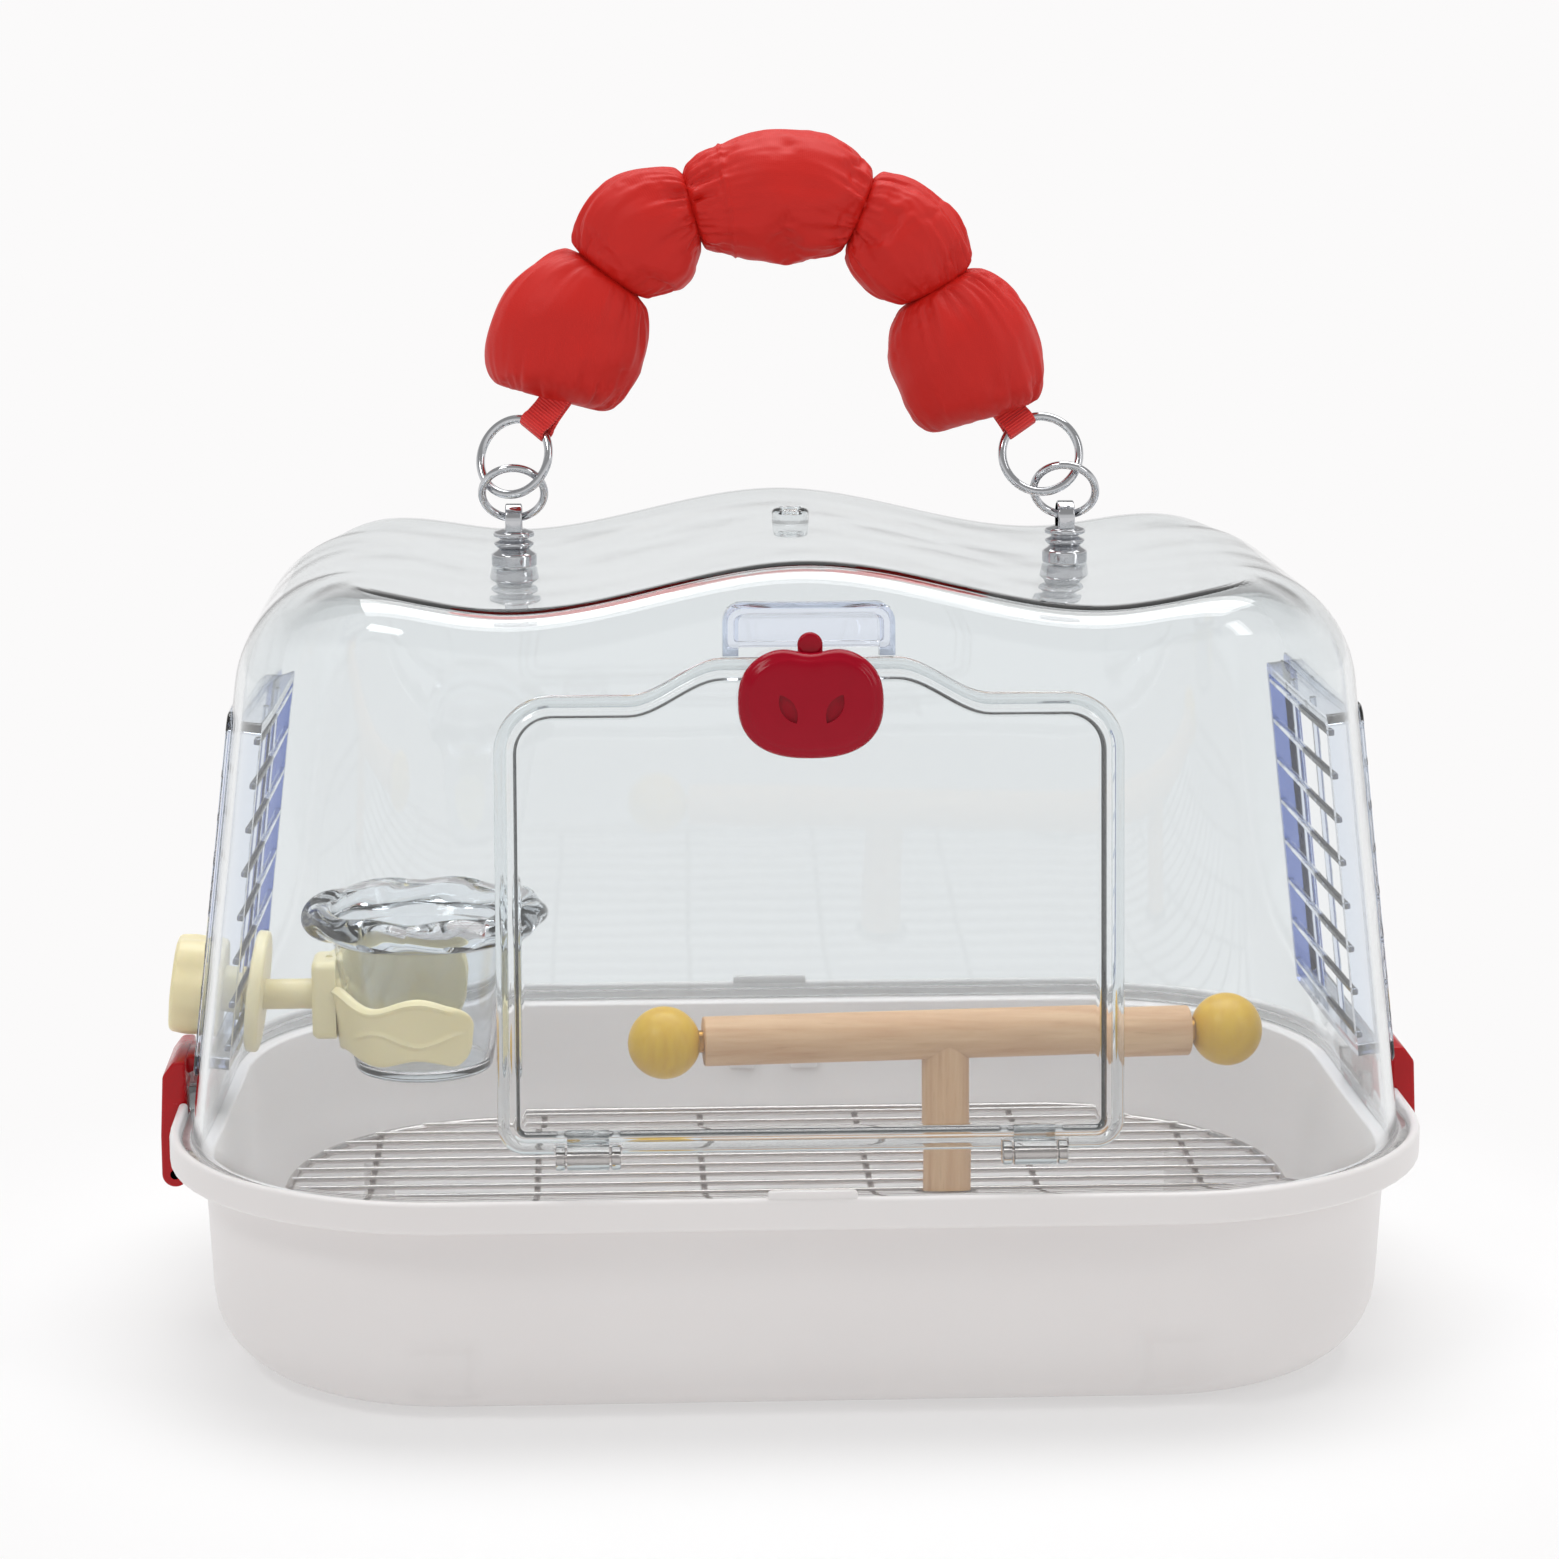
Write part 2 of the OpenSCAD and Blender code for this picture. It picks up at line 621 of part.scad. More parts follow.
module dome_shell() {
    color([0.85, 0.9, 0.95, 0.4]) difference() {
        union() {
            difference() {
                dome_body(0, 0);
                dome_body(dome_wall, 5);
            }
            around() polygon([
                [foot_r - flange_in, dome_z], [flange_r, dome_z],
                [flange_r, dome_z + flange_t], [foot_r - flange_in, dome_z + flange_t]
            ]);
            hinge_ears();
            for (m = [0, 1]) mirror([m, 0, 0]) side_lug();
        }
        for (m = [0, 1]) mirror([m, 0, 0]) {
            side_lug_cuts();
            at_vent() translate([0, 0, -vent_deep]) vent_outline(vent_fit, vent_deep + 6);
            translate([swivel_x, 0, swivel_top - 10]) cylinder(d = neck_d + 2 * run_gap, h = 20);
        }
        front_face(door_z) translate([0, 0, -6]) linear_extrude(12) polygon(door_pts(door_lap));
        front_face(door_z) translate([-catch_w / 2, catch_y0, -catch_deep])
            cube([catch_w, catch_y1 - catch_y0, catch_deep + 6]);
        for (s = [-1, 1]) front_face(door_z)
            translate([s * door_hinge_x - hinge_w, door_pin_y, door_pin_n]) rotate([0, 90, 0])
                cylinder(d = door_pin_d, h = 2 * hinge_w);
    }
}
module catch_pins() {
    color("dimgray") for (s = [-1, 1])
        translate([s * side_x(catch_pin_z), lug_w / 2 - 1, catch_pin_z]) rotate([90, 0, 0])
            cylinder(d = catch_pin_d, h = lug_w - 2);
}
module vent_solid() {
    color([0.75, 0.82, 0.95, 0.6]) at_vent() {
        difference() {
            union() {
                translate([0, 0, -vent_deep]) vent_outline(0, vent_deep + 0.1);
                vent_outline(vent_lip, vent_lip_t);
            }
            translate([0, 0, -vent_deep - 1]) vent_outline(-vent_wall, vent_deep + 4);
        }
        for (i = [0 : bars - 1])
            translate([-vent_w / 2 + 1, bar_y0 + i * bar_pitch - bar_h / 2, -vent_deep])
                cube([vent_w - 2, bar_h, bar_t]);
        for (s = [-1, 1])
            translate([s * vent_w / 6 - bar_h / 2, -vent_h / 2 + 1, bar_front_n - 0.2])
                cube([bar_h, vent_h - 2, bar_t]);
    }
}
module vent_left() { vent_solid(); }
module vent_right() { mirror([1, 0, 0]) vent_solid(); }
module door_catch() {
    fit = 0.1;
    color([0.85, 0.9, 0.95, 0.5]) front_face(door_z) difference() {
        translate([-catch_w / 2 + fit, catch_y0 + fit, -catch_deep])
            cube([catch_w - 2 * fit, catch_y1 - catch_y0 - 2 * fit, catch_deep]);
        translate([-catch_w / 2 + catch_wall, catch_y0 + catch_wall, -catch_deep + catch_wall])
            cube([catch_w - 2 * catch_wall, catch_y1 - catch_y0 - 2 * catch_wall, catch_deep + 1]);
    }
}
module top_plug() {
    color([0.85, 0.9, 0.95, 0.5]) {
        translate([0, 0, crown_z]) cylinder(d = plug_d, h = plug_h);
        translate([0, 0, crown_z + plug_h]) cylinder(d1 = plug_d, d2 = plug_d - 3, h = 1.5);
    }
}
module swivel_base(s) {
    color("silver") translate([s * swivel_x, 0, 0]) difference() {
        union() {
            translate([0, 0, swivel_top + base_seat]) cylinder(d = base_d, h = base_t);
            translate([0, 0, swivel_top + base_seat + base_t]) cylinder(d1 = base_d - 1, d2 = 9, h = 1.5);
            translate([0, 0, swivel_top - dome_wall - neck_l]) cylinder(d = neck_d, h = neck_l + dome_wall + 1);
        }
        translate([0, 0, swivel_top - 1]) cylinder(d = head_pin_d + 2 * run_gap, h = 12);
    }
}
module swivel_base_left() { swivel_base(-1); }
module swivel_base_right() { swivel_base(1); }
module swivel_nuts() {
    color("silver") for (s = [-1, 1]) translate([s * swivel_x, 0, 0]) difference() {
        translate([0, 0, swivel_top - dome_wall - seat_gap - nut_t])
            cylinder(d = swivel_nut_d, h = nut_t, $fn = 6);
        translate([0, 0, swivel_top - dome_wall - neck_l]) cylinder(d = neck_d, h = neck_l + 1);
    }
}

// Door
module door_panel() {
    color([0.88, 0.92, 0.96, 0.35]) front_face(door_z) difference() {
        union() {
            difference() {
                union() {
                    translate([0, 0, door_gap]) linear_extrude(door_t) polygon(door_pts(0));
                    translate([0, 0, door_gap + door_t - 0.1]) linear_extrude(bead_h + 0.1)
                        difference() {
                            polygon(door_pts(0));
                            polygon(door_pts(bead_w));
                        }
                }
                for (s = [-1, 1])
                    translate([s * door_hinge_x - hinge_w / 2 - 0.4, -1, 0])
                        cube([hinge_w + 0.8, 1 + door_pin_y + hinge_r + 0.5, 9]);
            }
            for (s = [-1, 1]) translate([s * door_hinge_x - knuckle_w / 2, 0, 0]) {
                translate([0, door_pin_y, door_pin_n]) rotate([0, 90, 0])
                    cylinder(r = hinge_r, h = knuckle_w);
                translate([0, door_pin_y, door_gap]) cube([knuckle_w, hinge_r + 2.5, door_t]);
            }
            translate([0, latch_y, door_gap + 0.1]) cylinder(d = latch_boss_d, h = latch_n - door_gap - 0.3);
        }
        for (s = [-1, 1])
            translate([s * door_hinge_x - hinge_w / 2, door_pin_y, door_pin_n]) rotate([0, 90, 0])
                cylinder(d = door_pin_d + 2 * run_gap, h = hinge_w);
        translate([0, latch_y, -1]) cylinder(d = latch_shaft_d + 2 * run_gap, h = 12);
    }
}
module door_hinge_pins() {
    color("dimgray") for (s = [-1, 1]) front_face(door_z)
        translate([s * door_hinge_x - hinge_w / 2, door_pin_y, door_pin_n]) rotate([0, 90, 0])
            cylinder(d = door_pin_d, h = hinge_w);
}

// Kidney outline of the latch: a rounded oval with a dent at its top
function kidney(inset) = [for (i = [0 : 47])
    let (
        a = 360 * i / 48,
        hw = latch_w / 2 - inset,
        hh = latch_h / 2 - inset,
        x = hw * sign(cos(a)) * pow(abs(cos(a)), 0.82),
        y = hh * sign(sin(a)) * pow(abs(sin(a)), 0.82),
        dent = y > 0 ? 2.2 * exp(-x * x / 36) : 0
    ) [x, y - dent]];
module almond() {
    intersection() {
        translate([4, 0, 0]) cylinder(r = 6, h = 4);
        translate([-4, 0, 0]) cylinder(r = 6, h = 4);
    }
}
module door_latch() {
    face_n = latch_n + latch_tongue_t + latch_body_t;
    color("crimson") front_face(door_z) translate([0, latch_y, 0]) difference() {
        union() {
            translate([0, 0, latch_n]) cylinder(r = latch_h / 2 - 2.5, h = latch_tongue_t);
            translate([-3.5, 0, latch_n]) cube([7, latch_tip_r - 3.5, latch_tongue_t]);
            translate([0, latch_tip_r - 3.5, latch_n]) cylinder(r = 3.5, h = latch_tongue_t);
            translate([0, 0, latch_n + latch_tongue_t - 0.1])
                linear_extrude(latch_body_t - 1.4) polygon(kidney(0));
            translate([0, 0, face_n - 1.6]) linear_extrude(1.6) polygon(kidney(1.4));
            translate([0, 0, door_gap - 2.4]) cylinder(d = latch_shaft_d, h = latch_n - door_gap + 3);
        }
        for (s = [-1, 1])
            translate([s * 6.6, -1, face_n - 1.2]) rotate([0, 0, s * -28]) almond();
    }
}
module latch_retainer() {
    color("crimson") front_face(door_z) translate([0, latch_y, door_gap - 2.3]) difference() {
        cylinder(d = retainer_d, h = 2);
        translate([0, 0, -1]) cylinder(d = latch_shaft_d + 2 * run_gap, h = 4);
    }
}

// Feeder
module at_stud() {
    at_vent() translate([vent_y, stud_y, 0]) children();
}
module cup_cone(grow, z0, h) {
    slope = (cup_top_r - cup_foot_r) / (cup_h - cup_rope_d);
    translate([-cup_x, 0, z0])
        cylinder(r1 = cup_foot_r + grow + (z0 - cup_z0) * slope,
            r2 = cup_foot_r + grow + (z0 + h - cup_z0) * slope, h = h);
}
module cloud_cut() {
    z_low = cradle_z0 + 19.5;
    far = 40;
    translate([-cup_x, 0, 0]) rotate([90, 0, 0]) linear_extrude(far) difference() {
        translate([-cradle_mouth, cradle_z0 - 5]) square([far + cradle_mouth, 60]);
        hull() {
            translate([-cradle_mouth, z_low - 11]) circle(r = 11, $fn = 32);
            translate([-cradle_mouth, cradle_z0 + 10]) circle(r = 10, $fn = 32);
        }
        translate([-9, z_low - 10]) circle(r = 12, $fn = 32);
        translate([-9, cradle_z0 + 8.5]) circle(r = 9.5, $fn = 32);
        translate([8, z_low - 11]) circle(r = 12, $fn = 32);
        translate([8, cradle_z0 + 9.5]) circle(r = 9.8, $fn = 32);
        translate([-9, cradle_z0 + 2]) square([17, 14]);
    }
}
module feeder_bracket() {
    block_x = cup_x + cup_foot_r;
    tall = 3 * cradle_h;
    color("lemonchiffon") {
        at_stud() {
            translate([0, 0, -vent_deep - 0.2 - disc_t]) cylinder(d = disc_d, h = disc_t);
            translate([0, 0, -vent_deep - 1]) cylinder(d = stud_d, h = vent_deep + 1 + knob_n1 - knob_cap - stud_short);
        }
        difference() {
            union() {
                difference() {
                    union() {
                        cup_cone(seat_gap + cradle_t, cradle_z0, cradle_h);
                        span_box([-block_x - block_out, -block_x + block_in], [-block_w / 2, block_w / 2],
                            [arm_z - 12.5, arm_z + 11.5]);
                    }
                    span_box([-cup_x + cradle_open, -cup_x + cup_rim_d], [-cup_rim_d, cup_rim_d],
                        [cradle_z0 - cradle_h, cradle_z0 + 2 * cradle_h]);
                }
                at_arm_end();
            }
            cup_cone(seat_gap, cradle_z0 - cradle_h, tall);
            cloud_cut();
        }
    }
}
module at_arm_end() {
    near_x = side_x(stud_z) - vent_deep - disc_t / 2;
    translate([-near_x, 0, arm_z]) rotate([0, 90, 0])
        cylinder(d = arm_d, h = near_x - cup_x - cup_foot_r - block_out + arm_sink);
}
module feeder_knob() {
    bore_n = bar_front_n - 1;
    color([0.95, 0.95, 0.8]) at_stud() difference() {
        union() {
            translate([0, 0, knob_n0]) cylinder(r = knob_d / 2 - knob_lobe_r / 2, h = knob_n1 - knob_n0);
            for (i = [0 : knob_lobes - 1]) rotate([0, 0, i * 360 / knob_lobes])
                translate([knob_d / 2 - knob_lobe_r, 0, knob_n0])
                    cylinder(r = knob_lobe_r, h = knob_n1 - knob_n0);
            translate([0, 0, bar_front_n + 0.1]) cylinder(d = hub_d, h = knob_n0 - bar_front_n);
        }
        translate([0, 0, bore_n]) cylinder(d = stud_d + 2 * run_gap, h = knob_n1 - knob_cap - bore_n);
    }
}
module feeder_cup() {
    rope_z = cup_z0 + cup_h - cup_rope_d / 2;
    body_h = cup_h - cup_rope_d;
    color([0.9, 0.93, 0.97, 0.5]) difference() {
        union() {
            cup_cone(0, cup_z0, body_h);
            translate([-cup_x, 0, cup_z0 + body_h - 0.01])
                cylinder(r1 = cup_top_r, r2 = cup_rope_r, h = cup_rope_d / 2);
            translate([-cup_x, 0, rope_z]) rotate_extrude()
                translate([cup_rope_r, 0]) circle(d = cup_rope_d, $fn = 24);
        }
        cup_cone(-cup_wall, cup_z0 + cup_wall + 0.5, body_h - cup_wall - 0.5 + 0.02);
        translate([-cup_x, 0, cup_z0 + body_h])
            cylinder(r1 = cup_top_r - cup_wall, r2 = cup_rope_r - cup_wall, h = cup_rope_d / 2);
        translate([-cup_x, 0, rope_z - 0.01]) cylinder(r = cup_rope_r - cup_wall, h = cup_rope_d);
    }
}

// Swivel heads and rings
module swivel_head(s) {
    low = swivel_top + base_seat + base_t + 1.7;
    color("silver") translate([s * swivel_x, 0, 0]) difference() {
        union() {
            translate([0, 0, low - 5]) cylinder(d = head_pin_d, h = 6);
            translate([0, 0, low]) cylinder(d = head_d, h = 1.6);
            intersection() {
                union() {
                    translate([0, 0, low + 1.5]) cylinder(d = 2 * eye_out_r, h = eye_z - low - 1.5);
                    translate([eye_t / 2, 0, eye_z]) rotate([0, -90, 0])
                        cylinder(r = eye_out_r, h = eye_t);
                }
                span_box([-eye_t / 2, eye_t / 2], [-8, 8], [low, eye_z + 8]);
            }
        }
        translate([-eye_t, 0, eye_z]) rotate([0, 90, 0]) cylinder(r = eye_r, h = 2 * eye_t);
        for (m = [0, 1]) mirror([m, 0, 0]) translate([eye_t / 2 - eye_flare, 0, eye_z]) rotate([0, 90, 0])
            cylinder(r1 = eye_r, r2 = eye_r + eye_flare + 0.1, h = eye_flare + 0.1);
    }
}
module swivel_head_left() { swivel_head(-1); }
module swivel_head_right() { swivel_head(1); }

// A ring whose plane stands upright, turned about its middle
module ring(middle, turn, r, d) {
    translate(middle) rotate(turn) rotate([90, 0, 0])
        rotate_extrude() translate([r, 0]) circle(d = d, $fn = 24);
}
function up_of(turn) = [sin(turn[0]) * sin(turn[2]), -sin(turn[0]) * cos(turn[2]), cos(turn[0])];
module small_ring(s, turn) {
    color("silver") ring([s * swivel_x, 0, hang_z] + small_r * up_of(turn), turn, small_r, small_wire_d);
}
module small_ring_left() { small_ring(-1, left_small_turn); }
module small_ring_right() { small_ring(1, right_small_turn); }
module big_ring_left() { color("silver") ring(left_ring_c, left_big_turn, big_r, big_wire_d); }
module big_ring_right() { color("silver") ring(right_ring_c, right_big_turn, big_r, big_wire_d); }

// Webbing tab: a flat strap wrapped round a large ring, with its end sewn into the pad
module strap_tab(middle, turn, along) {
    color("crimson") difference() {
        translate(middle) rotate(turn) rotate([0, along, 0]) translate([0, 0, big_r]) {
            translate([-tab_w / 2, 0, 0]) rotate([0, 90, 0])
                cylinder(r = big_wire_d / 2 + seat_gap + tab_t, h = tab_w, $fn = 32);
            translate([-tab_w / 2, -tab_t, 0]) cube([tab_w, 2 * tab_t, tab_l]);
        }
        ring(middle, turn, big_r, big_wire_d + 2 * seat_gap);
    }
}
module strap_tab_left() { strap_tab(left_ring_c, left_big_turn, left_tab_turn); }
module strap_tab_right() { strap_tab(right_ring_c, right_big_turn, right_tab_turn); }

// Padded handle: a closed tube along the middle line with full lobes between necks
function pad_spans() = len(pad_line) - 1;
function pad_at(list, t) =
    let (i = min(floor(t), pad_spans() - 1), u = t - i,
        p0 = list[max(i - 1, 0)], p1 = list[i], p2 = list[i + 1], p3 = list[min(i + 2, pad_spans())])
    0.5 * (2 * p1 + (p2 - p0) * u + (2 * p0 - 5 * p1 + 4 * p2 - p3) * u * u
        + (3 * p1 - p0 - 3 * p2 + p3) * u * u * u);
function pad_dir(t) = let (e = 0.02, d = pad_at(pad_line, min(t + e, pad_spans() - 0.001))
    - pad_at(pad_line, max(t - e, 0))) d / norm(d);
function lobe_half(t) =
    let (k = 2 * min(floor(t / 2), len(pad_half) / 2 - 1.5), u = (t - k) / 2,
        neck = pad_half[k] * (1 - u) + pad_half[k + 2] * u)
    neck + (pad_half[k + 1] - neck) * pow(sin(180 * u), pad_full);
module handle_pad() {
    rings = pad_spans() * pad_steps;
    pts = [for (k = [0 : rings]) let (
            t = min(k / pad_steps, pad_spans() - 0.0001),
            c = pad_at(pad_line, t),
            d = pad_dir(t),
            h = lobe_half(t),
            y = pad_t / 2 * pow(h / max(pad_half), 0.8)
        ) for (j = [0 : pad_sides - 1]) let (
            a = 360 * j / pad_sides,
            u = h * sign(cos(a)) * pow(abs(cos(a)), 0.9),
            v = y * sign(sin(a)) * pow(abs(sin(a)), 0.9)
        ) [c[0] - d[1] * u, v, c[1] + d[0] * u + pad_lift]];
    sides = [for (k = [0 : rings - 1], j = [0 : pad_sides - 1])
        let (n = (j + 1) % pad_sides, a = k * pad_sides)
        [a + j, a + n, a + n + pad_sides, a + j + pad_sides]];
    caps = [
        [for (j = [pad_sides - 1 : -1 : 0]) j],
        [for (j = [0 : pad_sides - 1]) rings * pad_sides + j]
    ];
    color("red") polyhedron(pts, concat(sides, caps));
}

tray();
latch_hinge_pins();
latch_left();
latch_right();
wire_floor();
perch_post();
perch_bar();
perch_ball_left();
perch_ball_right();
ball_screws();
floor_stud();
floor_washer();
floor_nut();
dome_shell();
catch_pins();
vent_left();
vent_right();
door_catch();
top_plug();
swivel_base_left();
swivel_base_right();
swivel_nuts();
door_panel();
door_hinge_pins();
door_latch();
latch_retainer();
feeder_bracket();
feeder_knob();
feeder_cup();
swivel_head_left();
swivel_head_right();
small_ring_left();
small_ring_right();
big_ring_left();
big_ring_right();
strap_tab_left();
strap_tab_right();
handle_pad();
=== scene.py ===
# Looks of a bird travel carrier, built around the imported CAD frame.
# Lengths are millimetres until mesh_of() turns them into metres; node groups, bevels and
# materials are in metres.
# X runs to the right, Y to the back and Z up; the door faces -Y.
from math import acos, asin, atan2, ceil, cos, exp, hypot, pi, radians, sin, sqrt, tan

import bmesh
import bpy
import numpy as np
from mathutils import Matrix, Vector


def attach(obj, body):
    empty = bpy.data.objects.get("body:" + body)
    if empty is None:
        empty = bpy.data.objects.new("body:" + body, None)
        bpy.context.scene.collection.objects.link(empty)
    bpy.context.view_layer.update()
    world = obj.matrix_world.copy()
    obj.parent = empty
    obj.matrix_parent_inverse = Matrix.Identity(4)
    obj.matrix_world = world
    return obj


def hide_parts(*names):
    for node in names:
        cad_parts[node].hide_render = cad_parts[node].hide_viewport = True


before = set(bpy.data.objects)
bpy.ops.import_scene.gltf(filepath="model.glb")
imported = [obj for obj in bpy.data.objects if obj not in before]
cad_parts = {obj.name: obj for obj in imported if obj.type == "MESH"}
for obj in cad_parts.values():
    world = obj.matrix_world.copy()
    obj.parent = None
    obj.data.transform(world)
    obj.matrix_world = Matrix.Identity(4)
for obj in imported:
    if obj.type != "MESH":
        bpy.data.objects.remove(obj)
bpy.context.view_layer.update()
scene = bpy.context.scene

# Tray: an injection-moulded polypropylene basin with a rolled rim and a ledge inside it
# that the dome stands on. Two shallow foot marks show in its front wall, two brackets
# carry the side latches, and four posts hold the wire floor.
RIM_R = 84.0
LIP_R = 81.2
RIM_TOP = 70.0
LEDGE_Z = 65.0
CORNER = (101.0, 41.0)
DIMPLE = (103.0, 16.5)
DIMPLE_DEPTH = 2.3
POSTS = (130, 60)
LATCH_PIN = (186.7, 47.5)


def linear(colour):
    """An sRGB hex colour as linear red, green, blue and alpha."""
    parts = [int(colour[i : i + 2], 16) / 255 for i in (1, 3, 5)]
    return [c / 12.92 if c <= 0.04045 else ((c + 0.055) / 1.055) ** 2.4 for c in parts] + [1.0]


def add(tree, kind, inputs=None, **settings):
    """Adds a node; inputs are values, sockets or nodes, by the name or number of the input they feed.

    A shader or maths node is named without its ShaderNode.
    """
    made = tree.nodes.new(kind if kind.startswith(("Geometry", "NodeGroup")) else "ShaderNode" + kind)
    for key, value in settings.items():
        setattr(made, key, value)
    for key, value in (inputs or {}).items():
        if isinstance(value, bpy.types.Node):
            value = value.outputs[0]
        if isinstance(value, bpy.types.NodeSocket):
            tree.links.new(value, made.inputs[key])
        else:
            made.inputs[key].default_value = value
    return made


def finish_of(name, colour, **values):
    """A new material: its node tree and its Principled shader, with values set by input name."""
    material = bpy.data.materials.new(name)
    material.use_nodes = True
    tree = material.node_tree
    shader = tree.nodes["Principled BSDF"]
    shader.inputs["Base Color"].default_value = linear(colour)
    for key, value in values.items():
        words = [w if w == "IOR" else w.capitalize() for w in key.split("_")]
        shader.inputs[" ".join(words)].default_value = value
    return material, tree, shader


def show(tree, shader, pattern, tones=None, gloss=None, relief=None):
    """Shows a pattern on a surface: between two tones, as roughness between limits, or as relief."""
    if tones:
        tone = add(tree, "Mix", {0: pattern, 6: linear(tones[0]), 7: linear(tones[1])}, data_type="RGBA")
        tree.links.new(tone.outputs[2], shader.inputs["Base Color"])
    if gloss:
        limits = dict(zip(("To Min", "To Max", "From Min", "From Max"), gloss))
        dull = add(tree, "MapRange", {"Value": pattern, **limits})
        tree.links.new(dull.outputs[0], shader.inputs["Roughness"])
    if relief:
        bump = add(tree, "Bump", {"Height": pattern, "Strength": relief[0], "Distance": relief[1]})
        tree.links.new(bump.outputs[0], shader.inputs["Normal"])


def mottled(name, colour, patterns, stretch=None, **values):
    """A material under noises fixed to the piece; each comes with what it shows as."""
    material, tree, shader = finish_of(name, colour, **values)
    where = add(tree, "TexCoord").outputs["Object"]
    if stretch:
        where = add(tree, "Mapping", {"Vector": where, "Scale": stretch})
    for noise, shown_as in patterns:
        show(tree, shader, add(tree, "TexNoise", {"Vector": where, **noise}), **shown_as)
    return material


def rounded(points, steps=4):
    """A line through (x, z, radius): each corner with a radius becomes an arc."""
    line = []
    for i, (x, z, r) in enumerate(points):
        p = np.array([x, z], float)
        if r <= 0 or i in (0, len(points) - 1):
            line.append(p)
            continue
        a = np.array(points[i - 1][:2], float) - p
        b = np.array(points[i + 1][:2], float) - p
        a, b = a / np.linalg.norm(a), b / np.linalg.norm(b)
        half = acos(max(-1, min(1, a @ b))) / 2
        reach = r / tan(half)
        centre = p + (a + b) / np.linalg.norm(a + b) * r / sin(half)
        start, end = p + a * reach - centre, p + b * reach - centre
        turn = atan2(start[0] * end[1] - start[1] * end[0], start @ end)
        for k in range(steps + 1):
            t = turn * k / steps
            c, s = cos(t), sin(t)
            line.append(centre + [c * start[0] - s * start[1], s * start[0] + c * start[1]])
    return line


def refined(line, step):
    """A line with more points on its long stretches."""
    fine = [line[0]]
    for a, b in zip(line, line[1:]):
        n = max(1, ceil(np.linalg.norm(b - a) / step))
        fine += [a + (b - a) * k / n for k in range(1, n + 1)]
    return fine


def plan(corner, corner_steps=16, x_steps=80, y_steps=24):
    """Feet and outward directions round a rounded box: a point lies at foot + radius * direction."""
    cx, cy = corner
    feet, out = [], []
    for quarter in range(4):
        sx, sy = ((1, 1), (-1, 1), (-1, -1), (1, -1))[quarter]
        for k in range(corner_steps + 1):
            a = pi / 2 * (quarter + k / corner_steps)
            feet.append((sx * cx, sy * cy))
            out.append((cos(a), sin(a)))
        nx, ny = ((-1, 1), (-1, -1), (1, -1), (1, 1))[quarter]
        steps = x_steps if quarter % 2 == 0 else y_steps
        for k in range(1, steps):
            t = k / steps
            feet.append((cx * (sx + (nx - sx) * t), cy * (sy + (ny - sy) * t)))
            out.append(out[-1])
    return np.array(feet), np.array(out)


def loft(rings, caps=(True, True), closed=True):
    """Points and faces of a skin over rings of equally many points."""
    rings = np.asarray(rings, float)
    m, n = rings.shape[:2]
    faces = [
        (i * n + j, i * n + (j + 1) % n, (i + 1) * n + (j + 1) % n, (i + 1) * n + j)
        for i in range(m - 1)
        for j in range(n if closed else n - 1)
    ]
    if caps[0]:
        faces.append(tuple(range(n - 1, -1, -1)))
    if caps[1]:
        faces.append(tuple((m - 1) * n + j for j in range(n)))
    return rings.reshape(-1, 3), faces


def sector(x, y, r, start, end, count):
    """Points on an arc, between two angles in degrees."""
    return [(x + r * cos(a), y + r * sin(a)) for a in np.radians(np.linspace(start, end, count))]


def raised(outline, z):
    """An outline of (x, y) at one height."""
    return np.column_stack([outline, np.full(len(outline), z)])


def sweep(profile, feet, out, caps=(True, True)):
    """A profile of (radius, height) carried round a plan."""
    return loft([raised(feet + out * r, z) for r, z in profile], caps)


def lathe(profile, steps=64, flute=None):
    """A profile of (radius, height) turned about Z; flute scales the radius by angle and height."""
    angles = np.arange(steps) * 2 * pi / steps
    rings = []
    for r, z in profile:
        rr = r * (flute(angles, r, z) if flute else 1.0)
        rings.append(raised(np.column_stack([rr * np.cos(angles), rr * np.sin(angles)]), z))
    return loft(rings)


def block(x, y, z):
    """A box between two limits on each axis."""
    points = [(a, b, c) for c in z for b in y for a in x]
    return np.array(points, float), [
        (0, 2, 3, 1), (4, 5, 7, 6), (0, 1, 5, 4), (2, 6, 7, 3), (0, 4, 6, 2), (1, 3, 7, 5)
    ]


def prism(outline, n0, n1):
    """An outline of (x, y), in any order of turn, between two heights."""
    return loft([raised(np.asarray(outline, float), n) for n in (n0, n1)])


def moved(part, *places):
    """A part with each of its points put through functions of all points."""
    points = part[0]
    for place in places:
        points = place(points)
    return points, part[1]


def turned(x=0, y=0, z=0, by=(0, 0, 0)):
    """A placing function: turns about X, then Y, then Z, in degrees, then a shift."""
    cx, cy, cz = (cos(radians(a)) for a in (x, y, z))
    sx, sy, sz = (sin(radians(a)) for a in (x, y, z))
    rx = np.array([[1, 0, 0], [0, cx, -sx], [0, sx, cx]])
    ry = np.array([[cy, 0, sy], [0, 1, 0], [-sy, 0, cy]])
    rz = np.array([[cz, -sz, 0], [sz, cz, 0], [0, 0, 1]])
    m = rz @ ry @ rx
    return lambda p: np.asarray(p, float) @ m.T + np.array(by, float)


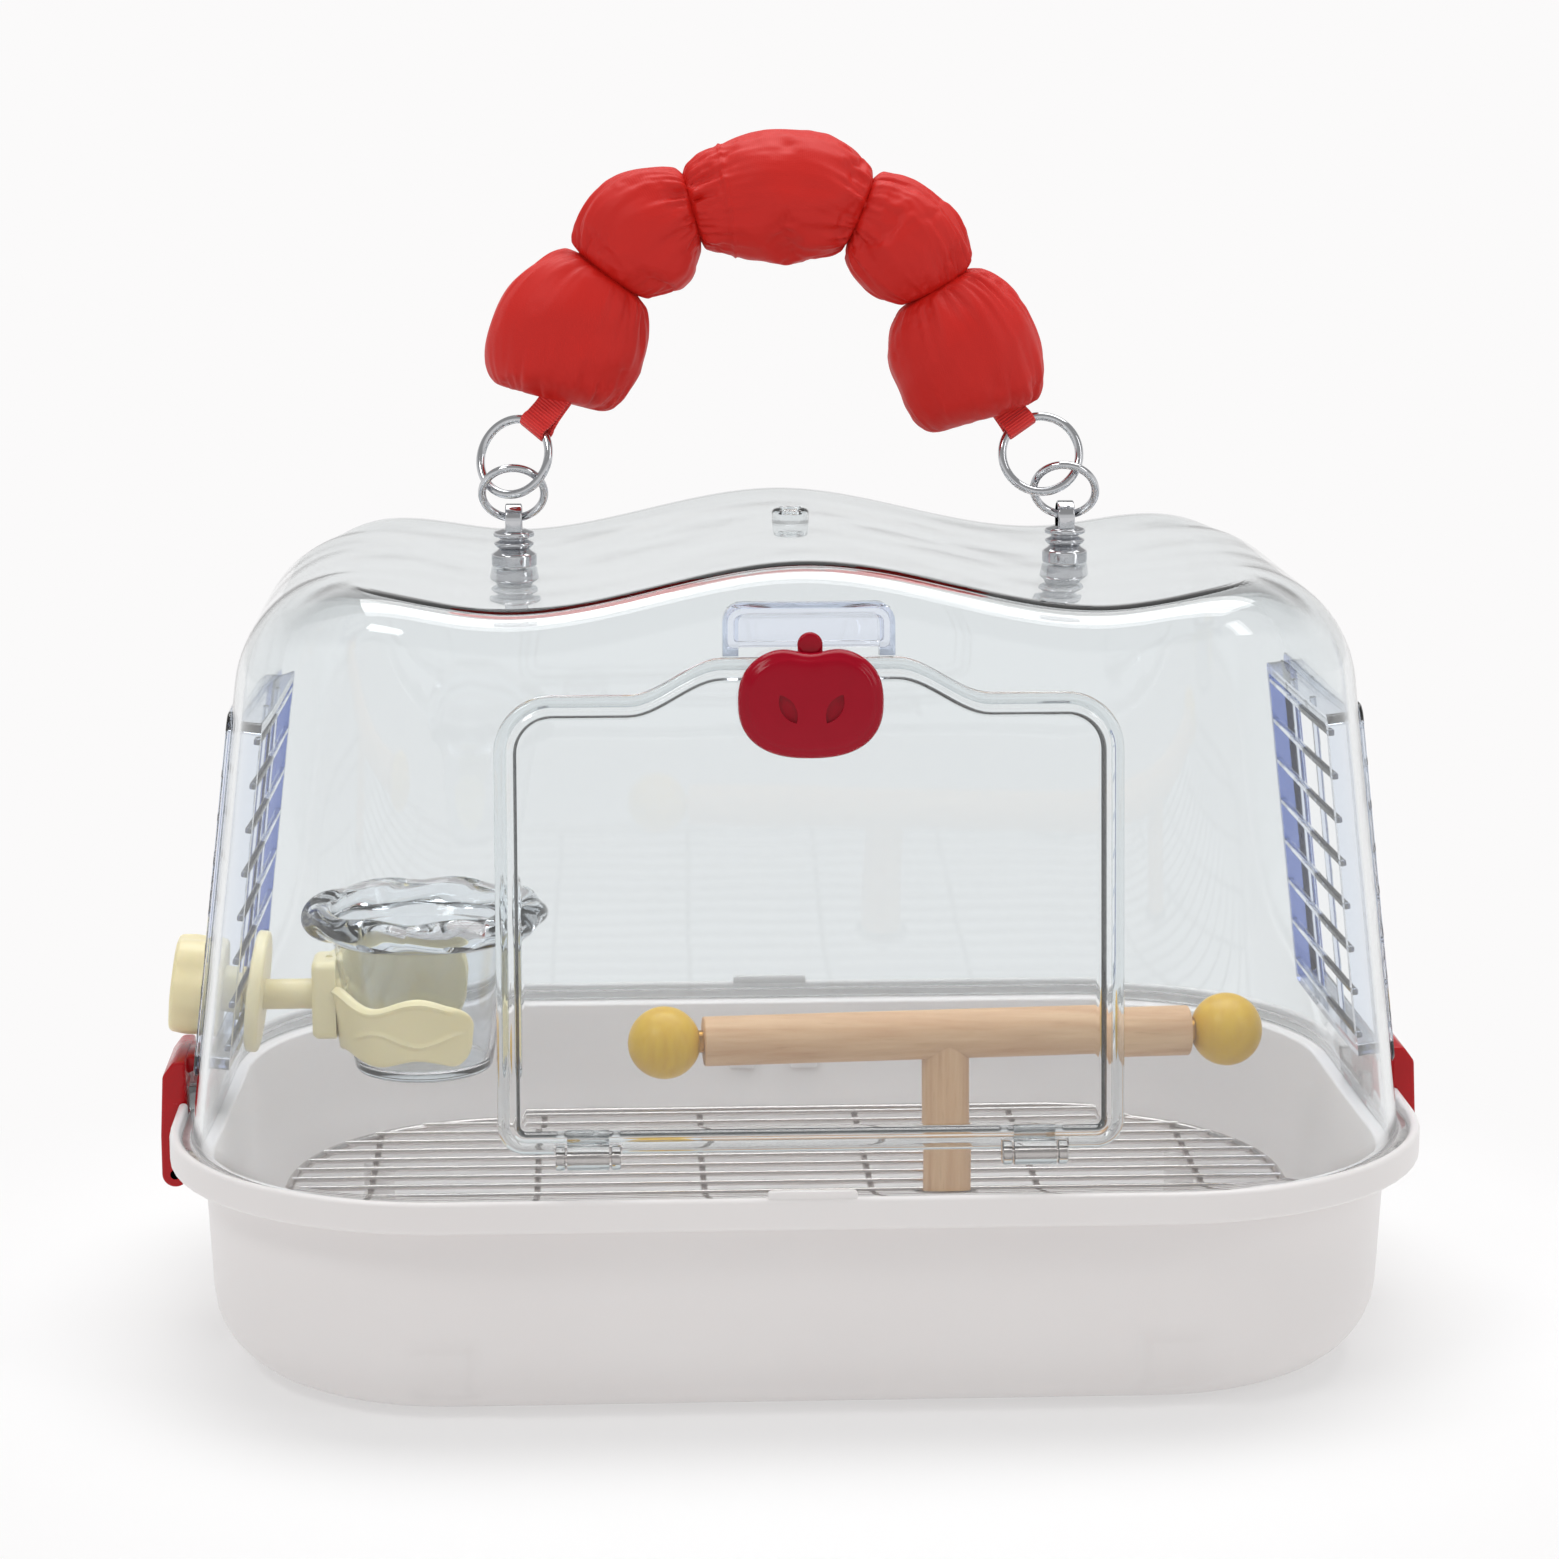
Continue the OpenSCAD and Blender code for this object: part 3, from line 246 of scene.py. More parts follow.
def mesh_of(name, parts, angle=38):
    """One closed mesh from parts, merged, facing outwards, smooth except at its edges."""
    points, faces = [], []
    for own, polygons in parts:
        base = len(points)
        points += [tuple(p) for p in np.asarray(own) * 0.001]
        faces += [tuple(i + base for i in f) for f in polygons]
    mesh = bpy.data.meshes.new(name)
    mesh.from_pydata(points, [], faces)
    bm = bmesh.new()
    bm.from_mesh(mesh)
    bmesh.ops.remove_doubles(bm, verts=bm.verts, dist=1e-6)
    bmesh.ops.recalc_face_normals(bm, faces=bm.faces)
    bm.to_mesh(mesh)
    bm.free()
    smooth(mesh, angle)
    return mesh


def smooth(mesh, angle=38):
    """Smooth shading, with the edges sharper than an angle left sharp."""
    mesh.polygons.foreach_set("use_smooth", [True] * len(mesh.polygons))
    mesh.set_sharp_from_angle(angle=radians(angle))


def settle(piece, angle=38):
    """Turns a piece's modifiers into its plain mesh."""
    graph = bpy.context.evaluated_depsgraph_get()
    mesh = bpy.data.meshes.new_from_object(piece.evaluated_get(graph))
    piece.modifiers.clear()
    piece.data = mesh
    smooth(mesh, angle)


def carve(piece, parts, operation="DIFFERENCE", angle=38):
    """Cuts parts from a piece, or joins them to it."""
    tool = bpy.data.objects.new("tool", mesh_of("tool", parts))
    scene.collection.objects.link(tool)
    step = piece.modifiers.new("carve", "BOOLEAN")
    step.object, step.operation, step.solver = tool, operation, "EXACT"
    settle(piece, angle)
    bpy.data.objects.remove(tool)


def soften(piece, width, segments=3, angle=32, keep=38):
    """Rounds a piece's sharp edges, as a mould does."""
    step = piece.modifiers.new("soften", "BEVEL")
    step.width, step.segments = width * 0.001, segments
    step.limit_method, step.angle_limit = "ANGLE", radians(angle)
    step.use_clamp_overlap = True
    settle(piece, keep)


def enlist(piece, body, nodes=()):
    """Has a piece ride on a body, in place of CAD nodes."""
    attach(piece, body)
    if nodes:
        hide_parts(*nodes)


def make(name, parts, material, body, slot, *nodes, angle=38, edge=None):
    """A finished piece in place of CAD nodes; edge gives the width and steps of its rounded edges."""
    piece = bpy.data.objects.new(name, mesh_of(name, parts, angle))
    scene.collection.objects.link(piece)
    piece.data.materials.append(material)
    enlist(piece, body, nodes)
    if edge:
        soften(piece, *edge)
    return piece


# Satin polypropylene: milky, with light carried a little way inside it and the faint
# orange peel of a polished mould, whose cells are about 1.5 mm.
tray_plastic = mottled(
    "moulded_white_polypropylene", "#E4E1E0",
    [({"Scale": 650.0, "Detail": 3.0}, {"relief": (0.05, 0.0002)}),
     ({"Scale": 14.0, "Detail": 2.0}, {"tones": ("#E6E3E2", "#E1DDDC"), "gloss": (0.24, 0.36)})],
    Roughness=0.3, IOR=1.49, Subsurface_Weight=0.12, Subsurface_Radius=(0.004, 0.0036, 0.0034),
    Subsurface_Scale=1.0,
)

feet, out = plan(CORNER)
profile = rounded([
    (44, 0, 0), (71, 0, 24), (74, 60.8, 0.8), (RIM_R, 60.8, 1.2), (RIM_R, RIM_TOP, 1.4),
    (LIP_R, RIM_TOP, 1.2), (LIP_R, LEDGE_Z, 0.6), (71, LEDGE_Z, 1.0), (68, 3, 21), (44, 3, 0)
], steps=8)
basin = make("tray_basin", [sweep(refined(profile, 3.0), feet, out)], tray_plastic, "base", "white_plastic",
             "tray")
co = np.array([v.co for v in basin.data.vertices]) * 1000
for side in (-1, 1):
    # A foot mark: a soft square dent with rounded edges, pressed into the front wall
    dx = np.clip((11.5 - np.abs(co[:, 0] - side * DIMPLE[0])) / 4.5, 0, 1)
    dz = np.clip((10.5 - np.abs(co[:, 2] - DIMPLE[1])) / 4.5, 0, 1)
    co[:, 1] += DIMPLE_DEPTH * (dx * dx * (3 - 2 * dx)) * (dz * dz * (3 - 2 * dz)) * (co[:, 1] < -80)
basin.data.vertices.foreach_set("co", (co * 0.001).ravel())

for side in (-1, 1):
    # The rim is cut away behind each side latch
    x0, x1 = sorted((side * 182.0, side * 192.0))
    carve(basin, [block((x0, x1), (-18, 18), (60, 71))])
fittings, tabs = [], []
px, pz = LATCH_PIN
for side in (-1, 1):
    arm = [(171.5, pz - 12), (px, pz - 4)] + sector(px, pz, 4, -90, 90, 13) + [(171.5, pz + 4)]
    fittings.append(moved(prism([(side * x, z) for x, z in arm], -9, 9), turned(x=90)))
    for end in (-1, 1):
        post = lathe(rounded([(0, 1.5, 0), (5, 1.5, 0), (5, 28.9, 0.8), (0, 28.9, 0)]), 32)
        fittings.append(moved(post, turned(by=(side * POSTS[0], end * POSTS[1], 0))))
        fittings.append(block((side * 6, side * 15), (109.0, 112.4), (42, 54)))
    tab = rounded([(-12.5, 69, 0), (-12.5, 72, 1.2), (12.5, 72, 1.2), (12.5, 69, 0)], 5)
    tabs.append(moved(prism(tab, -side * 122.2, -side * 124.4), turned(x=90)))
make("tray_fittings", fittings + tabs, tray_plastic, "base", "white_plastic", edge=(0.5, 2))

# Side latches: one red ABS moulding on each side, hinged on a steel pin in the tray's
# bracket. Its nose reaches over the rim, towards the steel catch pin in the dome's lug.
LATCH_IN = 182.7
LATCH_OUT = 190.7
LATCH_TOP = 82.5
BOTH = ((-1, "left"), (1, "right"))


def dress(material, *names):
    """Gives CAD parts that show as they are their material."""
    for name in names:
        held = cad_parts[name].data.materials
        held.clear()
        held.append(material)


# Glossy ABS, dyed through: a clean highlight, with faint rubbing marks in the gloss.
latch_plastic = mottled(
    "polished_red_abs", "#A80510",
    [({"Scale": 220.0, "Detail": 5.0, "Roughness": 0.65},
      {"tones": ("#A2030C", "#B20610"), "gloss": (0.13, 0.3, 0.35, 0.75)})],
    IOR=1.5, Specular_IOR_Level=0.3,
)
# Zinc-plated steel wire and pins: a soft grey gleam, mottled by the plating.
plated_steel = mottled("zinc_plated_steel_wire", "#C2BCB9",
                       [({"Scale": 900.0, "Detail": 2.0}, {"gloss": (0.12, 0.32)})], Metallic=1.0)

for side, name in BOTH:
    bar = rounded([(LATCH_IN, pz, 0), (LATCH_IN, LATCH_TOP, 1.0), (LATCH_OUT - 4.2, LATCH_TOP, 2.5),
                   (LATCH_OUT - 0.9, LATCH_TOP - 4.5, 3.0), (LATCH_OUT, pz + 12, 8), (LATCH_OUT, pz, 0)], 6)
    bar = [tuple(p) for p in bar] + sector(px, pz, 4, 180, 360, 17)[::-1][1:-1]
    latch = make(f"side_latch_{name}", [moved(prism([(side * x, z) for x, z in bar], -17, 17), turned(x=90))],
                 latch_plastic, f"latch_{name}", "red_plastic", f"latch_{name}")
    gap = sorted((side * (LATCH_IN - 3), side * (LATCH_OUT + 3)))
    carve(latch, [block(gap, (-9.3, 9.3), (pz - 5, pz + 6.5))])
    soften(latch, 0.9, 3)
    nose = [(LATCH_IN + 1.2, 76.6), (LATCH_IN + 1.2, 82.2), (LATCH_IN - 1.8, 82.2), (179.9, 80.9),
            (179.9, 78.3)]
    make(f"side_latch_nose_{name}", [moved(prism([(side * x, z) for x, z in nose], -10, 10), turned(x=90))],
         latch_plastic, f"latch_{name}", "red_plastic", edge=(0.4, 2))
dress(plated_steel, "latch_hinge_pins")

# Wire floor: long steel wires welded across six thicker ones, inside a rounded frame.
# It lies on the tray's posts and lifts out for cleaning.
FLOOR_SIZE = (312.0, 184.0)
FLOOR_CORNER = 70.0
FRAME_WIRE = 1.4
FRAME_SIDES = 12
FRAME_Z = 32.2


def group_of(name, *fields):
    """A node group with named inputs: its tree, their sockets, and their identifiers by name."""
    tree = bpy.data.node_groups.new(name, "GeometryNodeTree")
    tree.interface.new_socket("Geometry", in_out="OUTPUT", socket_type="NodeSocketGeometry")
    keys = {}
    for key, kind, value in fields:
        socket = tree.interface.new_socket(key, in_out="INPUT", socket_type="NodeSocket" + kind)
        socket.default_value = value
        keys[key] = socket.identifier
    return tree, add(tree, "NodeGroupInput").outputs, keys


def close_group(tree, given, made):
    """Ends a node group: instances made real, under the material given."""
    real = add(tree, "GeometryNodeRealizeInstances", {0: made})
    done = add(tree, "GeometryNodeSetMaterial", {"Geometry": real, "Material": given["Finish"]})
    tree.links.new(done.outputs[0], add(tree, "NodeGroupOutput").inputs[0])


def run_nodes(name, group, values, material, body, slot, *nodes):
    """Evaluates a node group on an empty mesh and keeps the result as a plain piece."""
    piece = bpy.data.objects.new(name, bpy.data.meshes.new(name))
    scene.collection.objects.link(piece)
    step = piece.modifiers.new("made", "NODES")
    step.node_group = group
    for key, value in values.items():
        step[key] = value
    settle(piece, 60)
    piece.data.materials.clear()
    piece.data.materials.append(material)
    enlist(piece, body, nodes)
    return piece


wires, given, WIRE = group_of(
    "wire_rows", ("Rows", "Int", 18), ("Pitch", "Float", 0.01), ("Half Length", "Float", 0.156),
    ("Half Width", "Float", 0.092), ("Corner", "Float", 0.07), ("Wire", "Float", 0.0009),
    ("Height", "Float", 0.033), ("Turn", "Float", 0.0), ("Finish", "Material", plated_steel),
)
# Rows stand either side of the middle; each is as long as the rounded frame allows there
at = add(wires, "SeparateXYZ", {0: add(wires, "GeometryNodeInputPosition")}).outputs["Y"]
sums = {**{key: given[key] for key in WIRE}, "at": at}
for result, operation, a, b in (
    ("gaps", "SUBTRACT", "Rows", 1.0), ("spread", "MULTIPLY", "gaps", "Pitch"),
    ("first", "MULTIPLY", "spread", -0.5),
    ("away", "ABSOLUTE", "at", 0.0), ("straight", "SUBTRACT", "Half Width", "Corner"),
    ("past", "SUBTRACT", "away", "straight"), ("into", "MAXIMUM", "past", 0.0),
    ("into squared", "MULTIPLY", "into", "into"), ("corner squared", "MULTIPLY", "Corner", "Corner"),
    ("left over", "SUBTRACT", "corner squared", "into squared"), ("at least", "MAXIMUM", "left over", 0.0),
    ("bulge", "SQRT", "at least", 0.0), ("middle", "SUBTRACT", "Half Length", "Corner"),
    ("half", "ADD", "middle", "bulge"),
):
    sums[result] = add(wires, "Math", {0: sums.get(a, a), 1: sums.get(b, b)}, operation=operation).outputs[0]
start = add(wires, "CombineXYZ", {"Y": sums["first"], "Z": given["Height"]})
rows = add(wires, "GeometryNodeMeshLine", {"Count": given["Rows"], "Start Location": start,
                                           "Offset": add(wires, "CombineXYZ", {"Y": given["Pitch"]})})
line = add(wires, "GeometryNodeCurvePrimitiveLine", {"Start": (-1, 0, 0), "End": (1, 0, 0)})
length = add(wires, "CombineXYZ", {"X": sums["half"], "Y": 1.0, "Z": 1.0})
laid = add(wires, "GeometryNodeInstanceOnPoints", {"Points": rows, "Instance": line, "Scale": length})
section = add(wires, "GeometryNodeCurvePrimitiveCircle", {"Resolution": 10, "Radius": given["Wire"]},
              mode="RADIUS")
paths = add(wires, "GeometryNodeRealizeInstances", {0: laid})
tubes = add(wires, "GeometryNodeCurveToMesh", {"Curve": paths, "Profile Curve": section, "Fill Caps": True})
turn = add(wires, "CombineXYZ", {"Z": given["Turn"]})
close_group(wires, given, add(wires, "GeometryNodeTransform", {"Geometry": tubes, "Rotation": turn}))

run_nodes("floor_long_wires", wires, {WIRE["Height"]: 0.0331}, plated_steel, "floor", "steel_wire",
          "wire_floor")
run_nodes("floor_cross_wires", wires, {
    WIRE["Rows"]: 6, WIRE["Pitch"]: 0.052, WIRE["Half Length"]: 0.092, WIRE["Half Width"]: 0.156,
    WIRE["Wire"]: 0.0011, WIRE["Height"]: 0.0315, WIRE["Turn"]: pi / 2,
}, plated_steel, "floor", "steel_wire")
feet, out = plan((FLOOR_SIZE[0] / 2 - FLOOR_CORNER, FLOOR_SIZE[1] / 2 - FLOOR_CORNER), 20, 8, 4)
around = raised(feet + out * FLOOR_CORNER, FRAME_Z)
rings = []
for k in range(FRAME_SIDES):
    a = 2 * pi * k / FRAME_SIDES
    rings.append(around + raised(out * FRAME_WIRE * cos(a), FRAME_WIRE * sin(a)))
border = loft(rings, (False, False))
# The last ring of the frame's wire joins on to the first
count = len(around)
last = (FRAME_SIDES - 1) * count
border[1].extend((last + j, last + (j + 1) % count, (j + 1) % count, j) for j in range(count))
make("floor_border_wire", [border], plated_steel, "floor", "steel_wire")
dress(plated_steel, "floor_stud", "floor_washer", "floor_nut")

# Perch: a T of turned beech, screwed down through the wire floor. Yellow wooden balls
# close the bar's ends, each on a brass collar screw.
PERCH = (48.5, 0.0, 83.0)
PERCH_YAW = 4.0
BAR_HALF = 75.5
BALL_R = 11.25
COLLAR_R = 4.0


# Bare beech: pale, with fine darker grain along the dowel and short flecks of ray.
def beech(name, along):
    """Beech whose grain runs along a dowel's axis: its pattern is stretched 18 times along it."""
    wood, tree, shader = finish_of(name, "#DDBE9F", Roughness=0.55, IOR=1.5)
    turn, stretch = (radians(-PERCH_YAW), (0.055, 1, 1)) if along == "X" else (0, (1, 1, 0.055))
    where = add(tree, "TexCoord").outputs["Object"]
    lined = add(tree, "Mapping", {"Vector": where, "Rotation": (0, 0, turn), "Scale": stretch})
    rings = add(tree, "TexNoise", {"Vector": lined, "Scale": 260.0, "Detail": 4.0, "Roughness": 0.6})
    flecks = add(tree, "TexNoise", {"Vector": lined, "Scale": 1500.0, "Detail": 2.0})
    band = add(tree, "MapRange", {"Value": rings, "From Min": 0.35, "From Max": 0.65})
    colour = add(tree, "Mix", {0: band, 6: linear("#C79C75"), 7: linear("#DAB790")}, data_type="RGBA")
    spot = add(tree, "MapRange", {"Value": flecks, "From Min": 0.62, "From Max": 0.74, "To Max": 0.5})
    dark = add(tree, "Mix", {0: spot, 6: colour.outputs[2], 7: linear("#B58E68")}, data_type="RGBA")
    tree.links.new(dark.outputs[2], shader.inputs["Base Color"])
    show(tree, shader, rings, relief=(0.25, 0.0003))
    return wood


at_perch = turned(z=PERCH_YAW, by=PERCH)
dowel = lathe(rounded([(0, -BAR_HALF, 0), (7.7, -BAR_HALF, 0.7), (7.7, BAR_HALF, 0.7), (0, BAR_HALF, 0)]))
make("perch_bar_dowel", [moved(dowel, turned(y=90), at_perch)], beech("turned_beech_bar", "X"), "floor",
     "wood", "perch_bar")
dowel = lathe([(0, 34.0), (7.35, 34.0), (7.35, 80.5), (0, 80.5)])
post = make("perch_post_dowel", [moved(dowel, turned(by=(PERCH[0], 0, 0)))], beech("turned_beech_post", "Z"),
            "floor", "wood", "perch_post")
groove = lathe([(0, -20), (7.8, -20), (7.8, 20), (0, 20)])
carve(post, [moved(groove, turned(y=90), at_perch)])

# Yellow paint over wood: a satin coat that lets a little of the grain through.
paint = mottled(
    "yellow_painted_wood", "#DCBD35",
    [({"Scale": 420.0, "Detail": 4.0}, {"tones": ("#C6920A", "#DDB82A"), "relief": (0.12, 0.0003)})],
    stretch=(1, 1, 0.15), Roughness=0.42, Coat_Weight=0.15,
)
# Brass screws: polished once, now with a warm uneven tarnish.
brass = mottled("tarnished_brass", "#B98A45",
                [({"Scale": 1200.0, "Detail": 3.0}, {"gloss": (0.15, 0.5)})], Metallic=1.0)

# Each ball has a flat for its collar, 1.6 mm off the bar's end, and a bore for the screw
centre = BAR_HALF + 1.6 + sqrt(BALL_R**2 - COLLAR_R**2)
flat = BAR_HALF + 1.65
bulge = [(BALL_R * sin(a), centre - BALL_R * cos(a))
         for a in np.linspace(asin(COLLAR_R / BALL_R), pi - 0.001, 40)]
for side, name in BOTH:
    ball = lathe([(1.6, centre - 3), (1.6, flat), (COLLAR_R, flat)] + bulge + [(0, centre + BALL_R)], 72)
    make(f"perch_ball_turned_{name}", [moved(ball, turned(y=side * 90), at_perch)], paint, "floor",
         "yellow_paint", f"perch_ball_{name}")
dress(brass, "ball_screws")

# Dome: one clear polystyrene moulding, 2.8 mm thick, with leaning walls and a waved roof.
# Its foot stands on the tray's ledge. It has openings for the door and both vents, ears
# for the door's hinges, and a lug with a pin at each side latch.
LEAN = radians(6.8)
FOOT_R = 78.0
WALL = 2.8
CROWN_Z = 242.5
SHOULDER_Z = 234.5
VALLEY = (82.5, 229.5)
SHOULDER_X = 126.8
RIDGE_R = (14.0, 36.0)
SWIVEL_HOLE_R = 3.43


def wall_r(z):
    """The outer wall's distance from the corners' feet at one height."""
    return FOOT_R - (z - LEDGE_Z) * tan(LEAN)


def ease(t):
    """A soft step from 0 to 1."""
    t = np.clip(t, 0, 1)
    return t * t * (3 - 2 * t)


def crest(x):
    """Height of the waved roof along X."""
    a = np.abs(x)
    inner = VALLEY[1] + (CROWN_Z - VALLEY[1]) * (1 - ease(a / VALLEY[0]))
    outer = SHOULDER_Z - (SHOULDER_Z - VALLEY[1]) * (1 - ease((a - VALLEY[0]) / (SHOULDER_X - VALLEY[0])))
    return np.where(a < VALLEY[0], inner, outer)


def front(z):
    """Places (x along the face, y up its slope, n outward) on the dome's front face, from a height."""
    y0, c, s = -CORNER[1] - wall_r(z), cos(LEAN), sin(LEAN)
    return lambda p: np.column_stack([
        p[:, 0], y0 + p[:, 1] * s - p[:, 2] * c, z + p[:, 1] * c + p[:, 2] * s
    ])


def flank(z, side):
    """The same for a side face: x runs to the front on the left, mirrored on the right."""
    x0, c, s = CORNER[0] + wall_r(z), cos(LEAN), sin(LEAN)
    return lambda p: np.column_stack([
        side * (x0 - p[:, 1] * s + p[:, 2] * c), -p[:, 0], z + p[:, 1] * c + p[:, 2] * s
    ])


def roof_rings(feet, out, inset):
    """Rings from the foot to the roof's flat middle, drawn in by the wall's thickness."""
    radius = RIDGE_R[0] + (RIDGE_R[1] - RIDGE_R[0]) * ease(out[:, 0] ** 2)
    reach = np.full(len(feet), 50.0)
    for _ in range(6):
        low = crest(feet[:, 0] + reach * out[:, 0]) - radius
        reach = FOOT_R - (low - LEDGE_Z) * tan(LEAN) - radius / cos(LEAN)
    r = radius - inset
    start = low + r * sin(LEAN)
    foot_z = LEDGE_Z if inset else LEDGE_Z + 5
    rows = []
    for k in range(15):
        z = foot_z + (start - foot_z) * k / 15
        rows.append((FOOT_R - (z - LEDGE_Z) * tan(LEAN) - inset / cos(LEAN), z))
    for k in range(19):
        a = LEAN + (pi / 2 - LEAN) * k / 18
        rows.append((reach + r * cos(a), low + r * sin(a)))
    for k in range(1, 17):
        rho = reach * (1 - k / 16)
        rows.append((rho, crest(feet[:, 0] + rho * out[:, 0]) - inset))
    return [np.column_stack([feet + out * np.reshape(rho, (-1, 1)), np.broadcast_to(z, len(feet))])
            for rho, z in rows]


def roof_plate(x_steps, y_steps, inset):
    """The grid that closes the roof's middle."""
    xs = np.linspace(-CORNER[0], CORNER[0], x_steps + 1)
    ys = np.linspace(-CORNER[1], CORNER[1], y_steps + 1)
    rings = [np.column_stack([np.full(len(ys), x), ys, np.full(len(ys), crest(x) - inset)]) for x in xs]
    return loft(rings, (False, False), False)


# Clear general-purpose polystyrene: water-clear with a trace of grey, very glossy, and
# slightly uneven where the melt met in the mould. Lamps reach what is inside it.
def clear_plastic(name, colour, roughness, veil, uneven=0.02):
    """Clear plastic whose shadow is only as dark as its veil; its flow marks are some 40 mm across."""
    material, tree, shader = finish_of(name, colour, Roughness=roughness, IOR=1.55, Transmission_Weight=1.0)
    where = add(tree, "TexCoord").outputs["Object"]
    flow = add(tree, "TexNoise", {"Vector": where, "Scale": 26.0, "Detail": 1.0})
    show(tree, shader, flow, relief=(uneven, 0.004))
    shadow = add(tree, "LightPath").outputs["Is Shadow Ray"]
    passed = add(tree, "BsdfTransparent", {"Color": linear(veil)})
    both = add(tree, "MixShader", {0: shadow, 1: shader, 2: passed})
    tree.links.new(both.outputs[0], tree.nodes["Material Output"].inputs["Surface"])
    return material


clear = clear_plastic("clear_polystyrene", "#F2F5F6", 0.02, "#FDFDFD")
# Where it is thick, at the catch and the vents, its edges show a blue cast
blue_clear = clear_plastic("clear_polystyrene_vent", "#E4EAF5", 0.03, "#F5F7FB")
thick_clear = clear_plastic("clear_polystyrene_catch", "#EDF1FA", 0.02, "#F8F9FC")

feet, out = plan(CORNER, 28)
flange = rounded([(FOOT_R - WALL / cos(LEAN), 65, 0), (80.9, 65, 0.6), (80.9, 68, 0.8),
                  (wall_r(68), 68, 1.2), (wall_r(70), 70, 0)], 4)
skirt = sweep(flange, feet, out, (False, False))
shell = [skirt, loft(roof_rings(feet, out, 0), (False, False)), roof_plate(80, 24, 0),
         loft(roof_rings(feet, out, WALL), (False, False)), roof_plate(80, 24, WALL)]
dome = make("dome_moulding", shell, clear, "dome", "clear_plastic", "dome_shell", angle=30)

DOOR_W = 174.0
DOOR_SHOULDER = 127.0
DOOR_Z = 82.0
at_door = front(DOOR_Z)


def door_outline(inset):
    """The door's outline, drawn in: round corners and a waved top with a tongue."""
    half, top_r, low_r = DOOR_W / 2 - inset, 16 - inset, max(2.0, 8 - inset)
    top_y = DOOR_SHOULDER - inset
    low, high = inset + low_r, top_y - top_r
    wave = [(x, top_y + 10 * (1 - float(ease((abs(x) - 24) / 26)))) for x in np.linspace(52, -52, 53)]
    return np.array(
        sector(half - low_r, low, low_r, -90, 0, 9) + sector(half - top_r, high, top_r, 0, 90, 13) + wave
        + sector(-half + top_r, high, top_r, 90, 180, 13) + sector(-half + low_r, low, low_r, 180, 270, 9)
    )


VENT = (98.0, 104.0)
VENT_MIDDLE = -3.0
VENT_Z = 140.0
# The openings are cut 0.1 mm clear of the vents that sit in them
hx, hy = VENT[0] / 2 + 0.1, VENT[1] / 2 + 0.1
vent_hole = block((VENT_MIDDLE - hx, VENT_MIDDLE + hx), (-hy, hy), (-9, 6))
openings = [
    moved(prism(door_outline(4), -8, 6), at_door),
    moved(block((-22.5, 22.5), (139.5, 150.5), (-7, 6)), at_door),
]
for side in (-1, 1):
    openings.append(moved(vent_hole, flank(VENT_Z, side)))
    hole = lathe([(0, -10), (SWIVEL_HOLE_R, -10), (SWIVEL_HOLE_R, 10), (0, 10)], 32)
    openings.append(moved(hole, turned(by=(side * VALLEY[0], 0, VALLEY[1]))))
carve(dome, openings, angle=30)

HINGE_X = 62.0
PIN_Y, PIN_N = -1.2, 3.6
EAR_R = 3.3
LUG_IN = 176.2


def slab(outline, middle, half):
    """An outline of (y, z), thickened to either side of a place on X."""
    return loft([np.array([(middle + dx, y, z) for y, z in outline]) for dx in (-half, half)])


fittings = []
for side in (-1, 1):
    for edge in (-1, 1):
        # Hinge ear: a rounded plate standing on the face, its hole filled by the pin
        ear = sector(PIN_Y, PIN_N, EAR_R, 0, 180, 15) + [(PIN_Y - EAR_R, -1.0), (PIN_Y + EAR_R, -1.0)]
        fittings.append(moved(slab(ear, side * HINGE_X + edge * 7.7, 1.3), at_door))
        # Half of a side latch's lug, and under both halves the flange's tongue
        lug = sorted((side * LUG_IN, side * 182.0)), sorted((edge * 13, edge * 17))
        fittings.append(block(*lug, (66.2, 75)))
    fittings.append(block(sorted((side * LUG_IN, side * 179.4)), (-13, 13), (65.6, 68.1)))
make("dome_ears_and_lugs", fittings, clear, "dome", "clear_plastic", edge=(0.5, 2))
dress(plated_steel, "catch_pins", "door_hinge_pins")

plug = rounded([(0, 242.0, 0), (5.5, 242.0, 0), (5.5, 246.2, 1.2), (3.2, 247.0, 0.6), (2.6, 244.8, 0.6),
                (0, 244.8, 0)], 5)
make("roof_plug", [lathe(plug, 48)], clear, "dome", "clear_plastic", "top_plug")


def pocket_line(half, low, high, low_r, high_r):
    """The catch pocket's outline at one depth, between two heights up the face."""
    return np.array(rounded([(0, low, 0), (half, low, low_r), (half, high, high_r), (-half, high, high_r),
                             (-half, low, low_r), (0, low, 0)], 6)[:-1])


outer, inner = pocket_line(22.3, 139.7, 150.3, 1.5, 4.0), pocket_line(20.8, 141.2, 148.8, 1.0, 2.5)
rings = [raised(outline, n) for outline, n in (
    (outer, -7.0), (outer, -0.2), (outer * 0.5 + inner * 0.5, 0.0), (inner, -0.2), (inner, -5.4))]
